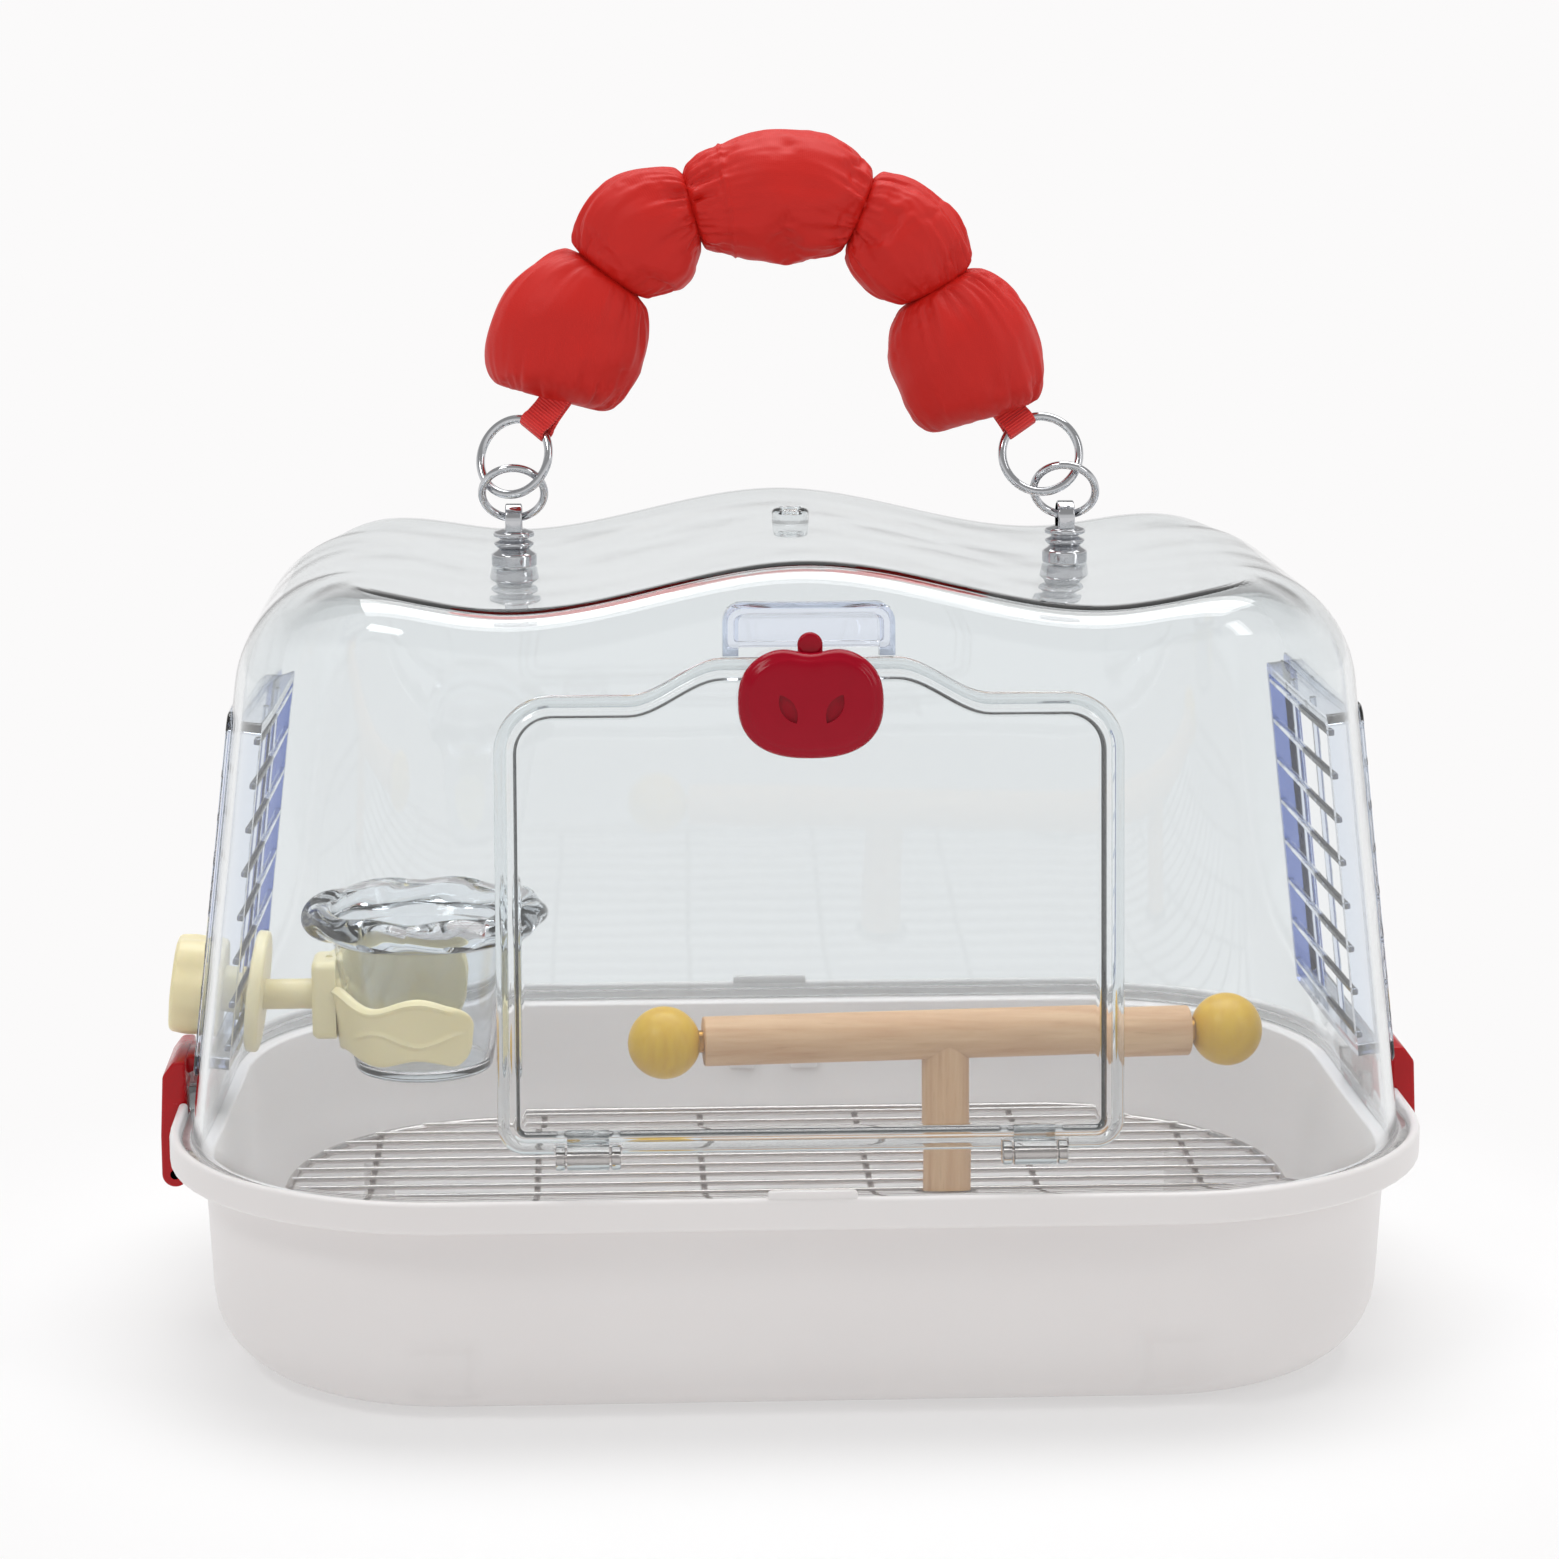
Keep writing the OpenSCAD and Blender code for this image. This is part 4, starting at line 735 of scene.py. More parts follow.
# Its thick cheeks and top stand round the pocket as an arch, proud of the face by a lip
arch = rounded([(-23.8, 137.3, 0), (-23.8, 152.0, 5.5), (23.8, 152.0, 5.5), (23.8, 137.3, 0), (19.5, 137.3, 0),
                (19.5, 149.2, 3), (-19.5, 149.2, 3), (-19.5, 137.3, 0)], 6)
catch = make("door_catch_pocket", [moved(loft(rings), at_door)], thick_clear, "dome", "clear_plastic",
             "door_catch")
for n0, n1 in ((-0.5, 1.6), (-7.2, -2.9)):
    carve(catch, [moved(prism(arch, n0, n1), at_door)], "UNION")
soften(catch, 0.5, 2)

# Vents: a clear sleeve with a thin outer lip in each side wall, crossed by eight thin
# bars and stiffened by two more behind them. The edges show a blue cast.


def sleeve_outline(grow, r):
    """The vent's rounded outline, larger than its opening by grow."""
    half_x, half_y = VENT[0] / 2 + grow, VENT[1] / 2 + grow
    line = []
    for k, (sx, sy) in enumerate(((1, 1), (-1, 1), (-1, -1), (1, -1))):
        for a in np.radians(np.linspace(90 * k, 90 * k + 90, 10)):
            line.append((VENT_MIDDLE + sx * (half_x - r) + r * cos(a), sy * (half_y - r) + r * sin(a)))
    return np.array(line)


bars, given, _ = group_of(
    "vent_bars", ("Bars", "Int", 8), ("Pitch", "Float", 0.0131), ("First", "Float", -0.04515),
    ("Length", "Float", 0.096), ("Width", "Float", 0.0018), ("Depth", "Float", 0.002),
    ("Level", "Float", -0.008), ("Middle", "Float", -0.003), ("Finish", "Material", blue_clear),
)
start = add(bars, "CombineXYZ", {"X": given["Middle"], "Y": given["First"], "Z": given["Level"]})
spots = add(bars, "GeometryNodeMeshLine", {"Count": given["Bars"], "Start Location": start,
                                           "Offset": add(bars, "CombineXYZ", {"Y": given["Pitch"]})})
size = add(bars, "CombineXYZ", {"X": given["Length"], "Y": given["Width"], "Z": given["Depth"]})
bar = add(bars, "GeometryNodeMeshCube", {"Size": size})
close_group(bars, given, add(bars, "GeometryNodeInstanceOnPoints", {"Points": spots, "Instance": bar}))


def put(piece, place):
    """Moves a finished piece's own points, and turns its faces outwards again."""
    co = np.array([v.co for v in piece.data.vertices]) * 1000
    piece.data.vertices.foreach_set("co", (place(co) * 0.001).ravel())
    bm = bmesh.new()
    bm.from_mesh(piece.data)
    bmesh.ops.recalc_face_normals(bm, faces=bm.faces)
    bm.to_mesh(piece.data)
    bm.free()


# The sleeve's back wall is painted a deeper blue: a painted cast, standing in for the blue that shows where the
# wall is seen along its length
sleeve_clear_painted_blue = clear_plastic("clear_polystyrene_sleeve_painted_blue", "#E6ECF6", 0.03, "#F5F7FB")
tree = sleeve_clear_painted_blue.node_tree
where = add(tree, "SeparateXYZ", {0: add(tree, "TexCoord").outputs["Object"]})
far = add(tree, "MapRange", {"Value": where.outputs["Y"], "From Min": 0.041, "From Max": 0.045})
# The painted blue cast: the colour turns deeper blue from 41 mm towards the back, fully at 45 mm
show(tree, tree.nodes["Principled BSDF"], far, tones=("#E6ECF6", "#8090CC"))

sections = [(0, 2.0, -9.0), (0, 2.0, 0.0), (2.5, 4.0, 0.0), (2.5, 4.0, 0.6), (2.0, 3.6, 1.0),
            (-2.6, 1.4, 1.0), (-3, 1.2, 0.6), (-3, 1.2, -9.0), (0, 2.0, -9.0)]
rings = [raised(sleeve_outline(grow, r), n) for grow, r, n in sections]
for side, name in BOTH:
    at = flank(VENT_Z, side)
    make(f"vent_sleeve_{name}", [moved(loft(rings, (False, False)), at)], sleeve_clear_painted_blue, "dome", "vent_plastic",
         f"vent_{name}", angle=30)
    grille = run_nodes(f"vent_bars_{name}", bars, {}, blue_clear, "dome", "vent_plastic")
    put(grille, at)
    step = grille.modifiers.new("soften", "BEVEL")
    step.width, step.segments = 0.0004, 2
    settle(grille)
    stays = []
    for x in (-1, 1):
        mid = x * VENT[0] / 6 + VENT_MIDDLE
        stays.append(moved(block((mid - 0.9, mid + 0.9), (-51, 51), (-7.2, -5.2)), at))
    make(f"vent_stays_{name}", stays, blue_clear, "dome", "vent_plastic", edge=(0.4, 2))

# Door: a flat clear panel with a double raised bead round its edge, hung on two steel
# pins at its foot, so that it swings down and forward.
LATCH_Y = 125.0

bead = [(0, 0.4), (0, 3.3), (0.5, 3.95), (1.2, 4.3), (2.0, 4.25), (2.7, 3.8), (3.2, 3.4), (3.7, 3.55),
        (4.2, 4.0), (4.9, 4.25), (5.6, 4.0), (6.1, 3.4), (6.5, 2.95), (7.2, 2.9)]
rings = [raised(door_outline(d), n) for d, n in bead]
door = make("door_panel_beaded", [moved(loft(rings), at_door)], clear, "door", "clear_plastic",
            "door_panel", angle=50)
knuckles = []
for side in (-1, 1):
    mid = side * HINGE_X
    carve(door, [moved(block((mid - 9.4, mid + 9.4), (-1, 2.6), (0, 9)), at_door)], angle=50)
    turn = [(PIN_Y + EAR_R * cos(a), PIN_N + EAR_R * sin(a)) for a in np.linspace(-0.7, pi, 18)]
    turn += [(PIN_Y - EAR_R, 2.4), (PIN_Y - 2.2, 0.9), (PIN_Y - 0.6, 0.4), (6.2, 0.4), (6.2, 2.9),
             (PIN_Y + 3.6, 2.9)]
    knuckles.append(moved(slab(turn, mid, 5.8), at_door))
boss = lathe(rounded([(0, 0.6, 0), (6.5, 0.6, 0), (6.5, 4.3, 0.6), (0, 4.3, 0)]), 40)
knuckles.append(moved(boss, turned(by=(0, LATCH_Y, 0)), at_door))
make("door_knuckles", knuckles, clear, "door", "clear_plastic", edge=(0.5, 2))

# Door latch: a deep red moulded turn-knob, rounded like a cushion with a dent in its top
# edge and two leaf-shaped finger marks, on a tongue that turns behind the catch pocket.
LATCH = (20.0, 15.5)
LEAF_R = 6.0
LEAF_OFF = 4.0


def cushion_outline(inset, count=96):
    """A rounded oval with a shallow dent at its top."""
    a = 2 * pi * np.arange(count) / count
    x = (LATCH[0] - inset) * np.sign(np.cos(a)) * np.abs(np.cos(a)) ** 0.82
    y = (LATCH[1] - inset) * np.sign(np.sin(a)) * np.abs(np.sin(a)) ** 0.82
    fade = max(0.0, 1 - inset / 12)
    return np.column_stack([x, y - np.where(y > 0, 2.2 * fade * np.exp(-x * x / 36), 0)])


turn_plastic = mottled(
    "moulded_crimson_abs", "#96001A",
    [({"Scale": 180.0, "Detail": 5.0, "Roughness": 0.6},
      {"tones": ("#93001A", "#9D031F"), "gloss": (0.13, 0.21, 0.3, 0.8)})],
    IOR=1.5, Specular_IOR_Level=0.2,
)
sections = [(3.0, 6.85), (0.7, 6.9), (0.15, 7.3), (0, 8.0), (0, 9.0), (0.25, 10.1), (0.8, 10.9), (1.6, 11.4),
            (2.3, 11.6), (2.7, 12.15), (3.5, 12.35), (5, 12.5), (7, 12.65), (9.5, 12.78), (12, 12.86),
            (14, 12.9)]
at_latch = lambda p: at_door(p + np.array([0, LATCH_Y, 0]))
cushion = loft([raised(cushion_outline(d), n) for d, n in sections])
knob = make("door_latch_knob", [moved(cushion, at_latch)], turn_plastic, "door_latch", "red_plastic",
            "door_latch", angle=60)
for side in (-1, 1):
    # A finger mark: two arcs that meet in points, leaning outwards
    reach = acos(LEAF_OFF / LEAF_R)
    leaf = [(LEAF_OFF - LEAF_R * cos(a), LEAF_R * sin(a)) for a in np.linspace(-reach, reach, 17)]
    leaf += [(-x, y) for x, y in leaf[::-1][1:-1]]
    c, s = cos(radians(side * -30)), sin(radians(side * -30))
    leaf = [(x * c - y * s + side * 6.4, x * s + y * c - 1.8) for x, y in leaf]
    carve(knob, [moved(prism(leaf, 11.4, 14), at_latch)], angle=60)
soften(knob, 0.25, 2, 45, 60)
nub = rounded([(0, 4.5, 0), (3.5, 4.5, 0.6), (3.5, 6.9, 1.0), (0, 6.9, 0)], 4)
tongue = [moved(lathe(nub, 32), turned(by=(0, LATCH[1], 0)), at_latch),
          moved(block((-3.4, 3.4), (2, LATCH[1]), (4.5, 6.6)), at_latch),
          moved(lathe([(0, -2.0), (2.5, -2.0), (2.5, 7.2), (0, 7.2)], 32), at_latch)]
make("door_latch_tongue", tongue, turn_plastic, "door_latch", "red_plastic")
dress(turn_plastic, "latch_retainer")

# Feeder: a cream polypropylene bracket. Its disc inside the vent and the lobed knob
# outside clamp the bars between them, and an open cradle carries the clear cup.
CUP_X = -112.0
CUP_Z = 76.0
CUP_FOOT_R = 21.5
CUP_SLOPE = (28 - CUP_FOOT_R) / 43
ARM_Z = 99.27

# Cream polypropylene: waxy and slightly see-through, so thin edges glow a little.
cream = mottled(
    "waxy_cream_polypropylene", "#EFE6BE",
    [({"Scale": 55.0, "Detail": 2.0, "Distortion": 0.6}, {"tones": ("#E3D6A8", "#E9DFBA")}),
     ({"Scale": 900.0, "Detail": 2.0}, {"relief": (0.06, 0.0002)})],
    Roughness=0.36, IOR=1.49, Subsurface_Weight=0.3, Subsurface_Radius=(0.004, 0.0034, 0.002),
    Subsurface_Scale=1.0,
)

at_stud = lambda p: flank(VENT_Z, -1)(p + np.array([0, -38.6, 0]))
disc = rounded([(0, -13.7, 0), (18.5, -13.7, 1.4), (18.5, -9.3, 1.2), (4.0, -9.3, 0.8), (3.8, 8.4, 0.6),
                (0, 8.4, 0)], 5)
arm = lathe(rounded([(0, 0, 0), (4.6, 0, 0.5), (4.6, 32, 0), (0, 32, 0)]), 40)
clamp = [moved(lathe(disc, 72), at_stud), moved(arm, turned(y=90), turned(by=(-167.5, 0, ARM_Z)))]
make("feeder_clamp", clamp, cream, "dome", "cream_plastic", "feeder_bracket")
loop = np.array(rounded([(0, -12.5, 0), (9, -12.5, 2.5), (9, 11.5, 2.5), (-9, 11.5, 2.5), (-9, -12.5, 2.5),
                         (0, -12.5, 0)], 5)[:-1])
rings = []
for x, shrink in ((-145.5, 1.0), (-144.7, 0.35), (-143.8, 0.0), (-138.2, 0.0)):
    rings.append(np.column_stack([np.full(len(loop), x), loop[:, 0] * (1 - shrink / 9),
                                  ARM_Z + loop[:, 1] * (1 - shrink / 12)]))
make("feeder_block", [loft(rings)], cream, "dome", "cream_plastic")


def cradle_arm(start, end, low, top, ridges):
    """A curved arm round the cup: rings of a rounded section along an angle in degrees.

    Each ridge is its height, its width, and the stretch of the arm that it runs along.
    """
    rings = []
    for k in range(91):
        t = k / 90
        a = radians(start + (end - start) * t)
        # The last stretch closes in a half round
        tip = min(1.0, (1 - t) * abs(end - start) / 17)
        close = sqrt(max(0.0004, 1 - (1 - tip) ** 2))
        z0, z1 = low(t), top(t)
        mid, half = (z0 + z1) / 2, (z1 - z0) / 2 * close
        thick = 2.8 * min(1.0, 0.25 + close)
        lip = min(1.3, thick / 2.1)
        foot = rounded([(0, 0, 0), (0, -half, lip), (thick, -half, lip), (thick, 0, 0)], 4)[1:-1]
        ring = foot + [(thick, v * half) for v in np.linspace(-0.8, 0.8, 33)]
        ring += [(thick - off, -v) for off, v in foot] + [(0, v * half) for v in np.linspace(0.8, -0.8, 9)]
        points = []
        for off, v in ring:
            z = mid + v
            raise_by = 0.0
            if off > thick * 0.9:
                for height, width, span in ridges:
                    if span[0] < t < span[1]:
                        edge = min(1, (t - span[0]) * 12, (span[1] - t) * 12)
                        raise_by += 0.85 * edge * exp(-((z - height(t)) / width) ** 2)
            radius = CUP_FOOT_R + 0.3 + (z - CUP_Z) * CUP_SLOPE + off + raise_by
            points.append((CUP_X + radius * cos(a), radius * sin(a), z))
        rings.append(points)
    return loft(rings)


# The front arm has waved edges, and two raised lines along it; the back arm is plain
wave = lambda t: cos(2 * pi * (t * 2.05 - 0.42))
upper = lambda t: 101.8 + 1.9 * wave(t)
lower = lambda t: 82.6 + 1.3 * wave(t)
ridges = [(lambda t: 90.5 + 1.7 * cos(2 * pi * (t * 2.3 - 0.1)), 0.55, (0.3, 0.93)),
          (lambda t: upper(t) - 1.6, 0.6, (0.05, 0.9))]
arms = [cradle_arm(178, 309, lower, upper, ridges),
        cradle_arm(182, 57, lambda t: 84.5, lambda t: 111.5 - 3 * t, [])]
make("feeder_cradle", arms, cream, "dome", "cream_plastic")

lobed = lambda a, r, z: 1 - 0.085 * (r / 15.5) ** 4 * (0.5 - 0.5 * np.cos(6 * a)) ** 1.5
grip = rounded([(0, 1.6, 0), (14.9, 1.6, 1.2), (15.5, 7.0, 12), (14.9, 12.6, 1.8), (0, 12.6, 0)], 6)
hub = rounded([(0, -6.8, 0), (7, -6.8, 0.5), (7, 2.0, 0), (0, 2.0, 0)], 4)
make("feeder_clamp_knob", [moved(lathe(refined(grip, 2.0), 120, lobed), at_stud),
                           moved(lathe(hub, 48), at_stud)], cream, "knob", "cream_plastic", "feeder_knob")

# Cup: clear polystyrene like the dome, with a thick rim moulded as a twisted rope.
ROPE = (32.0, 123.5)
ROPE_R = 4.4
cup_clear = clear_plastic("clear_polystyrene_cup", "#F5F8FB", 0.02, "#FDFDFE", 0.05)
profile = rounded([(0, 76.0, 0), (20.9, 76.0, 2.0), (27.6, 118.0, 3.0), (29.6, 121.0, 0)], 6)
rim = [(ROPE[0] + ROPE_R * cos(a), ROPE[1] + ROPE_R * sin(a)) for a in np.linspace(-2.45, 2.35, 40)]
inside = rounded([(28.9, 121.3, 0), (25.9, 117.0, 3.0), (19.4, 78.5, 2.0), (0, 78.5, 0)], 6)
profile = refined(profile, 4.0) + rim + refined(inside, 4.0)
steps = 180
angles = 2 * pi * np.arange(steps) / steps
rings = []
for r, z in profile:
    # The rope: two strands laid round the rim, eight turns to the circle
    dx, dz = r - ROPE[0], z - ROPE[1]
    away = hypot(dx, dz)
    twist = 0.6 * np.cos(2 * atan2(dz, dx) + 8 * angles) if abs(away - ROPE_R) < 0.4 else np.zeros(steps)
    rr = np.maximum(r + twist * dx / away, 0.0)
    rings.append(np.column_stack([CUP_X + rr * np.cos(angles), rr * np.sin(angles), z + twist * dz / away]))
make("feeder_cup_clear", [loft(rings)], cup_clear, "cup", "clear_plastic", "feeder_cup", angle=50)

# Swivels: turned and chromed brass. Each has a collar bolted through a valley of the roof
# and a head with an eye that turns on it; a split ring hangs the handle from each eye.
EYE_Z = 243.7
HANG_Z = 244.2
BIG = (11.5, 1.3)
SMALL = (9.2, 1.2)

# Chrome plate: mirror bright, with hairline rubs that blur it in patches.
chrome = mottled(
    "chrome_plate_on_brass", "#C6C7CA",
    [({"Scale": 700.0, "Detail": 6.0, "Roughness": 0.7}, {"gloss": (0.05, 0.24, 0.4, 0.8)})], Metallic=1.0,
)

collar = rounded([(0, 221.9, 0), (3.35, 221.9, 0.3), (3.35, 229.9, 0), (6.75, 229.9, 0.5), (6.75, 233.5, 0.9),
                  (5.2, 234.5, 0.4), (4.4, 235.35, 0.2), (0, 235.35, 0)], 5)
head = rounded([(0, 235.5, 0), (5.2, 235.5, 0.4), (5.9, 236.3, 0.4), (5.9, 237.0, 0.4), (4.2, 237.8, 0.5),
                (4.2, 238.2, 0.4), (6.1, 238.8, 0.5), (6.1, 240.2, 0.8), (3.4, 241.0, 0.6), (0, 241.0, 0)], 5)
for side, name in BOTH:
    x = side * VALLEY[0]
    make(f"swivel_collar_{name}", [moved(lathe(collar, 56), turned(by=(x, 0, 0)))], chrome, "dome", "chrome",
         f"swivel_base_{name}")
    eye = sector(0, EYE_Z, 4.8, 0, 180, 25) + [(-4.8, 240.2), (-4.2, 239.4), (4.2, 239.4), (4.8, 240.2)]
    plate = make(f"swivel_eye_{name}", [slab(eye, x, 2.5)], chrome, f"swivel_{name}", "chrome",
                 f"swivel_head_{name}")
    mouths = [(0, -2.7), (4.0, -2.7), (2.5, -1.0), (2.5, 1.0), (4.0, 2.7), (0, 2.7)]
    carve(plate, [moved(lathe(mouths, 40), turned(y=90, by=(x, 0, EYE_Z)))])
    soften(plate, 0.6, 3)
    make(f"swivel_head_drum_{name}", [moved(lathe(head, 48), turned(by=(x, 0, 0)))], chrome,
         f"swivel_{name}", "chrome")
dress(chrome, "swivel_nuts")


def torus(radius, wire, place, steps=72, sides=20):
    """A ring of round wire standing in the XZ plane before it is placed."""
    s = 2 * pi * np.arange(sides) / sides
    r = radius + wire * np.cos(s)
    rings = []
    for t in 2 * pi * np.arange(steps + 1) / steps:
        rings.append(np.column_stack([r * cos(t), wire * np.sin(s), r * sin(t)]))
    return moved(loft(rings, (False, False)), place)


# By side: lean and turn of the small and the big ring, the big ring's offset, and the tape's tilt
TURNS = {
    "left": ((30, 0), (-20, -30), (0.5, -4, 18.7), 31),
    "right": ((30, -10), (-20, 0), (-8, -4, 18.7), -35),
}

# Webbing: ribbed polyester tape, 9.5 mm wide, its ribs about 0.9 mm apart so that they show.
tape, tree, shader = finish_of("red_ribbed_polyester_tape", "#DC2420", Roughness=0.7, Sheen_Weight=0.2)
lay = add(tree, "UVMap", uv_map="weave")
ribs_and_furrow_shade = add(tree, "TexWave", {"Vector": lay.outputs[0], "Scale": 0.35, "Distortion": 0.4},
           wave_type="BANDS", bands_direction="Y")
# The ribs' furrows are painted darker and their crests lighter: painted shade that follows the ribs' relief
show(tree, shader, ribs_and_furrow_shade.outputs["Fac"], tones=("#D01E1C", "#EA342E"), relief=(0.6, 0.0003))

for side, name in BOTH:
    small_turn, big_turn, offset, along = TURNS[name]
    tilt, spin = (radians(a) for a in small_turn)
    up = np.array([sin(tilt) * sin(spin), -sin(tilt) * cos(spin), cos(tilt)])
    hang = np.array([side * VALLEY[0], 0, HANG_Z])
    at_hook = turned(x=small_turn[0], z=small_turn[1], by=hang + SMALL[0] * up)
    make(f"small_ring_wire_{name}", [torus(*SMALL, at_hook)], chrome, "handle", "chrome",
         f"small_ring_{name}")
    at_ring = turned(x=big_turn[0], z=big_turn[1], by=hang + np.array(offset))
    make(f"big_ring_wire_{name}", [torus(*BIG, at_ring)], chrome, "handle", "chrome", f"big_ring_{name}")
    # The tab: one tape folded round the ring, its two plies sewn into the pad
    ply = [(0.72, 11.4), (0.72, 8.0), (0.8, 5.2), (1.1, 3.4)]
    run = np.array(ply + sector(0, 0, 2.25, 48, -228, 25) + [(-x, z) for x, z in ply[::-1]])
    ahead = np.gradient(run, axis=0)
    ahead /= np.linalg.norm(ahead, axis=1)[:, None]
    side_on = np.column_stack([-ahead[:, 1], ahead[:, 0]])
    edge = rounded([(0, -0.62, 0), (4.75, -0.62, 0.5), (4.75, 0.62, 0.5), (0, 0.62, 0)], 3)[1:-1]
    edge = edge + [np.array([-p[0], -p[1]]) for p in edge]
    rings = []
    for p, n in zip(run, side_on):
        rings.append([(w, p[0] + n[0] * h, p[1] + n[1] * h) for w, h in edge])
    lift = lambda p: at_ring(turned(y=along)(p + np.array([0, 0, BIG[0]])))
    tab = make(f"strap_tape_{name}", [moved(loft(rings), lift)], tape, "handle", "red_fabric",
               f"strap_tab_{name}")
    uv = tab.data.uv_layers.new(name="weave")
    tall = lift(np.array([[0.0, 0, 1], [0, 0, 0], [1, 0, 0]]))
    rise, across = tall[0] - tall[1], tall[2] - tall[1]
    for loop in tab.data.loops:
        p = np.array(tab.data.vertices[loop.vertex_index].co) * 1000 - tall[1]
        uv.data[loop.index].uv = (p @ across, p @ rise)

# Handle pad: a tube of red nylon taffeta, stuffed and drawn in to five lobes. The cloth
# gathers in fine pleats at each neck and at both ends, and one seam runs round the
# middle lobe.
LINE = [(-70.5, 279), (-65.5, 297), (-53.5, 315.5), (-43.5, 327), (-29, 335), (-1.7, 338.5), (20.6, 334.5),
        (33, 324.5), (43.5, 312), (51.5, 292.5), (57.5, 272.5)]
HALF = [13, 23.5, 10.6, 19.2, 10.6, 19.6, 10.2, 17.6, 9.8, 22.8, 12]
PAD_T = 36.0
PAD_RISE = HANG_Z - EYE_Z
SEAM_X = -19.0
SLACK = 0.02
SWELL_CAP = 4.0


def spline(points, t):
    """A smooth line through points, at t counted in spans."""
    points = np.asarray(points, float)
    i = np.clip(np.floor(t).astype(int), 0, len(points) - 2)
    u = (t - i)[:, None]
    p0, p1 = points[np.maximum(i - 1, 0)], points[i]
    p2, p3 = points[i + 1], points[np.minimum(i + 2, len(points) - 1)]
    return 0.5 * (2 * p1 + (p2 - p0) * u + (2 * p0 - 5 * p1 + 4 * p2 - p3) * u**2
                  + (3 * p1 - p0 - 3 * p2 + p3) * u**3)


def pad_form(rows, slim):
    """The tube row by row: place on the line, middle, direction, length so far, height and depth."""
    t = np.linspace(0, 10, rows + 1)
    # Rows crowd towards the necks and ends, where the pleats are
    lobe = np.minimum(np.floor(t / 2), 4)
    u = t / 2 - lobe
    u = u - 0.12 * np.sin(2 * pi * u) / pi
    t = np.clip((lobe + u) * 2, 0, 10 - 1e-6)
    centre = spline(LINE, t)
    ahead = np.gradient(centre, axis=0)
    ahead /= np.linalg.norm(ahead, axis=1)[:, None]
    arc = np.concatenate([[0], np.cumsum(np.linalg.norm(np.diff(centre, axis=0), axis=1))])
    lobe = np.minimum(np.floor(t / 2), 4).astype(int)
    u = t / 2 - lobe
    half = np.array(HALF, float)
    neck = half[lobe * 2] * (1 - u) + half[lobe * 2 + 2] * u
    # A lobe narrows softly to a neck, and stays square towards the strap's two ends
    power = np.where(((lobe == 0) & (u < 0.5)) | ((lobe == 4) & (u > 0.5)), 0.42, 0.68)
    tall = neck + (half[lobe * 2 + 1] * slim - neck) * np.sin(pi * np.clip(u, 0, 1)) ** power
    deep = PAD_T / 2 * slim * (tall / half.max()) ** 0.8
    # Both ends close in a flat seam
    to_end = np.minimum(arc, arc[-1] - arc)
    closing = np.sqrt(np.clip(1 - (1 - np.clip(to_end / 9.0, 0, 1)) ** 2, 0.004, 1))
    return t, centre, ahead, arc, tall - 1.5 * (1 - closing), deep * closing


def girdle(form, sides):
    """How far each point of the plain tube lies above its middle line, and to the side."""
    a = 2 * pi * np.arange(sides) / sides
    co, si = np.cos(a), np.sin(a)
    return (form[4][:, None] * (np.sign(co) * np.abs(co) ** 0.9)[None, :],
            form[5][:, None] * (np.sign(si) * np.abs(si) ** 0.9)[None, :])


def pad_points(form, up, out_y):
    """The tube's points in space, row by row."""
    centre, ahead = form[1], form[2]
    x, z = centre[:, :1] - ahead[:, 1:] * up, centre[:, 1:] + ahead[:, :1] * up
    return np.stack([x, out_y, z + PAD_RISE], axis=-1)


def pad_mesh(points):
    """The tube's skin, facing outwards."""
    skin = loft(points)
    mesh = bpy.data.meshes.new("handle_pad_stuffed")
    mesh.from_pydata([tuple(p) for p in skin[0] * 0.001], [], [f[::-1] for f in skin[1]])
    return mesh


def stuffed(rows, sides, slim):
    """How far each point of a slack tube moves as it is blown up between its sewn necks."""
    form = pad_form(rows, slim)
    up, out_y = girdle(form, sides)
    jitter = np.random.default_rng(5)
    up, out_y = up + jitter.normal(0, 0.12, up.shape), out_y + jitter.normal(0, 0.12, up.shape)
    points = pad_points(form, up, out_y)
    trial = bpy.data.objects.new("stuffing", pad_mesh(points))
    scene.collection.objects.link(trial)
    sewn = trial.vertex_groups.new(name="sewn")
    for row in range(0, rows + 1, rows // 5):
        sewn.add(list(range(row * sides, (row + 1) * sides)), 1.0, "REPLACE")
    step = trial.modifiers.new("stuffing", "CLOTH")
    cloth = step.settings
    cloth.quality, cloth.mass, cloth.air_damping = 6, 0.15, 1
    cloth.tension_stiffness = cloth.compression_stiffness = 15
    cloth.shear_stiffness, cloth.bending_stiffness = 3, 1.0
    cloth.use_pressure, cloth.uniform_pressure_force = True, 4
    # The cloth is cut larger than the tube, so that it gathers where it is sewn
    cloth.shrink_min = -SLACK
    cloth.vertex_group_mass = "sewn"
    cloth.effector_weights.gravity = 0
    step.collision_settings.use_collision = False
    for f in range(1, 21):
        scene.frame_set(f)
    blown = bpy.data.meshes.new_from_object(trial.evaluated_get(bpy.context.evaluated_depsgraph_get()))
    move = np.array([v.co for v in blown.vertices]).reshape(points.shape) * 1000 - points
    bpy.data.objects.remove(trial)
    scene.frame_set(1)
    far = np.linalg.norm(move, axis=-1, keepdims=True)
    return form[0], move * np.minimum(1, SWELL_CAP / np.maximum(far, 1e-6))


ROWS, SIDES = 440, 168
slim = 0.97
form = pad_form(ROWS, slim)
t, centre, arc = form[0], form[1], form[3]
swell = 0.0
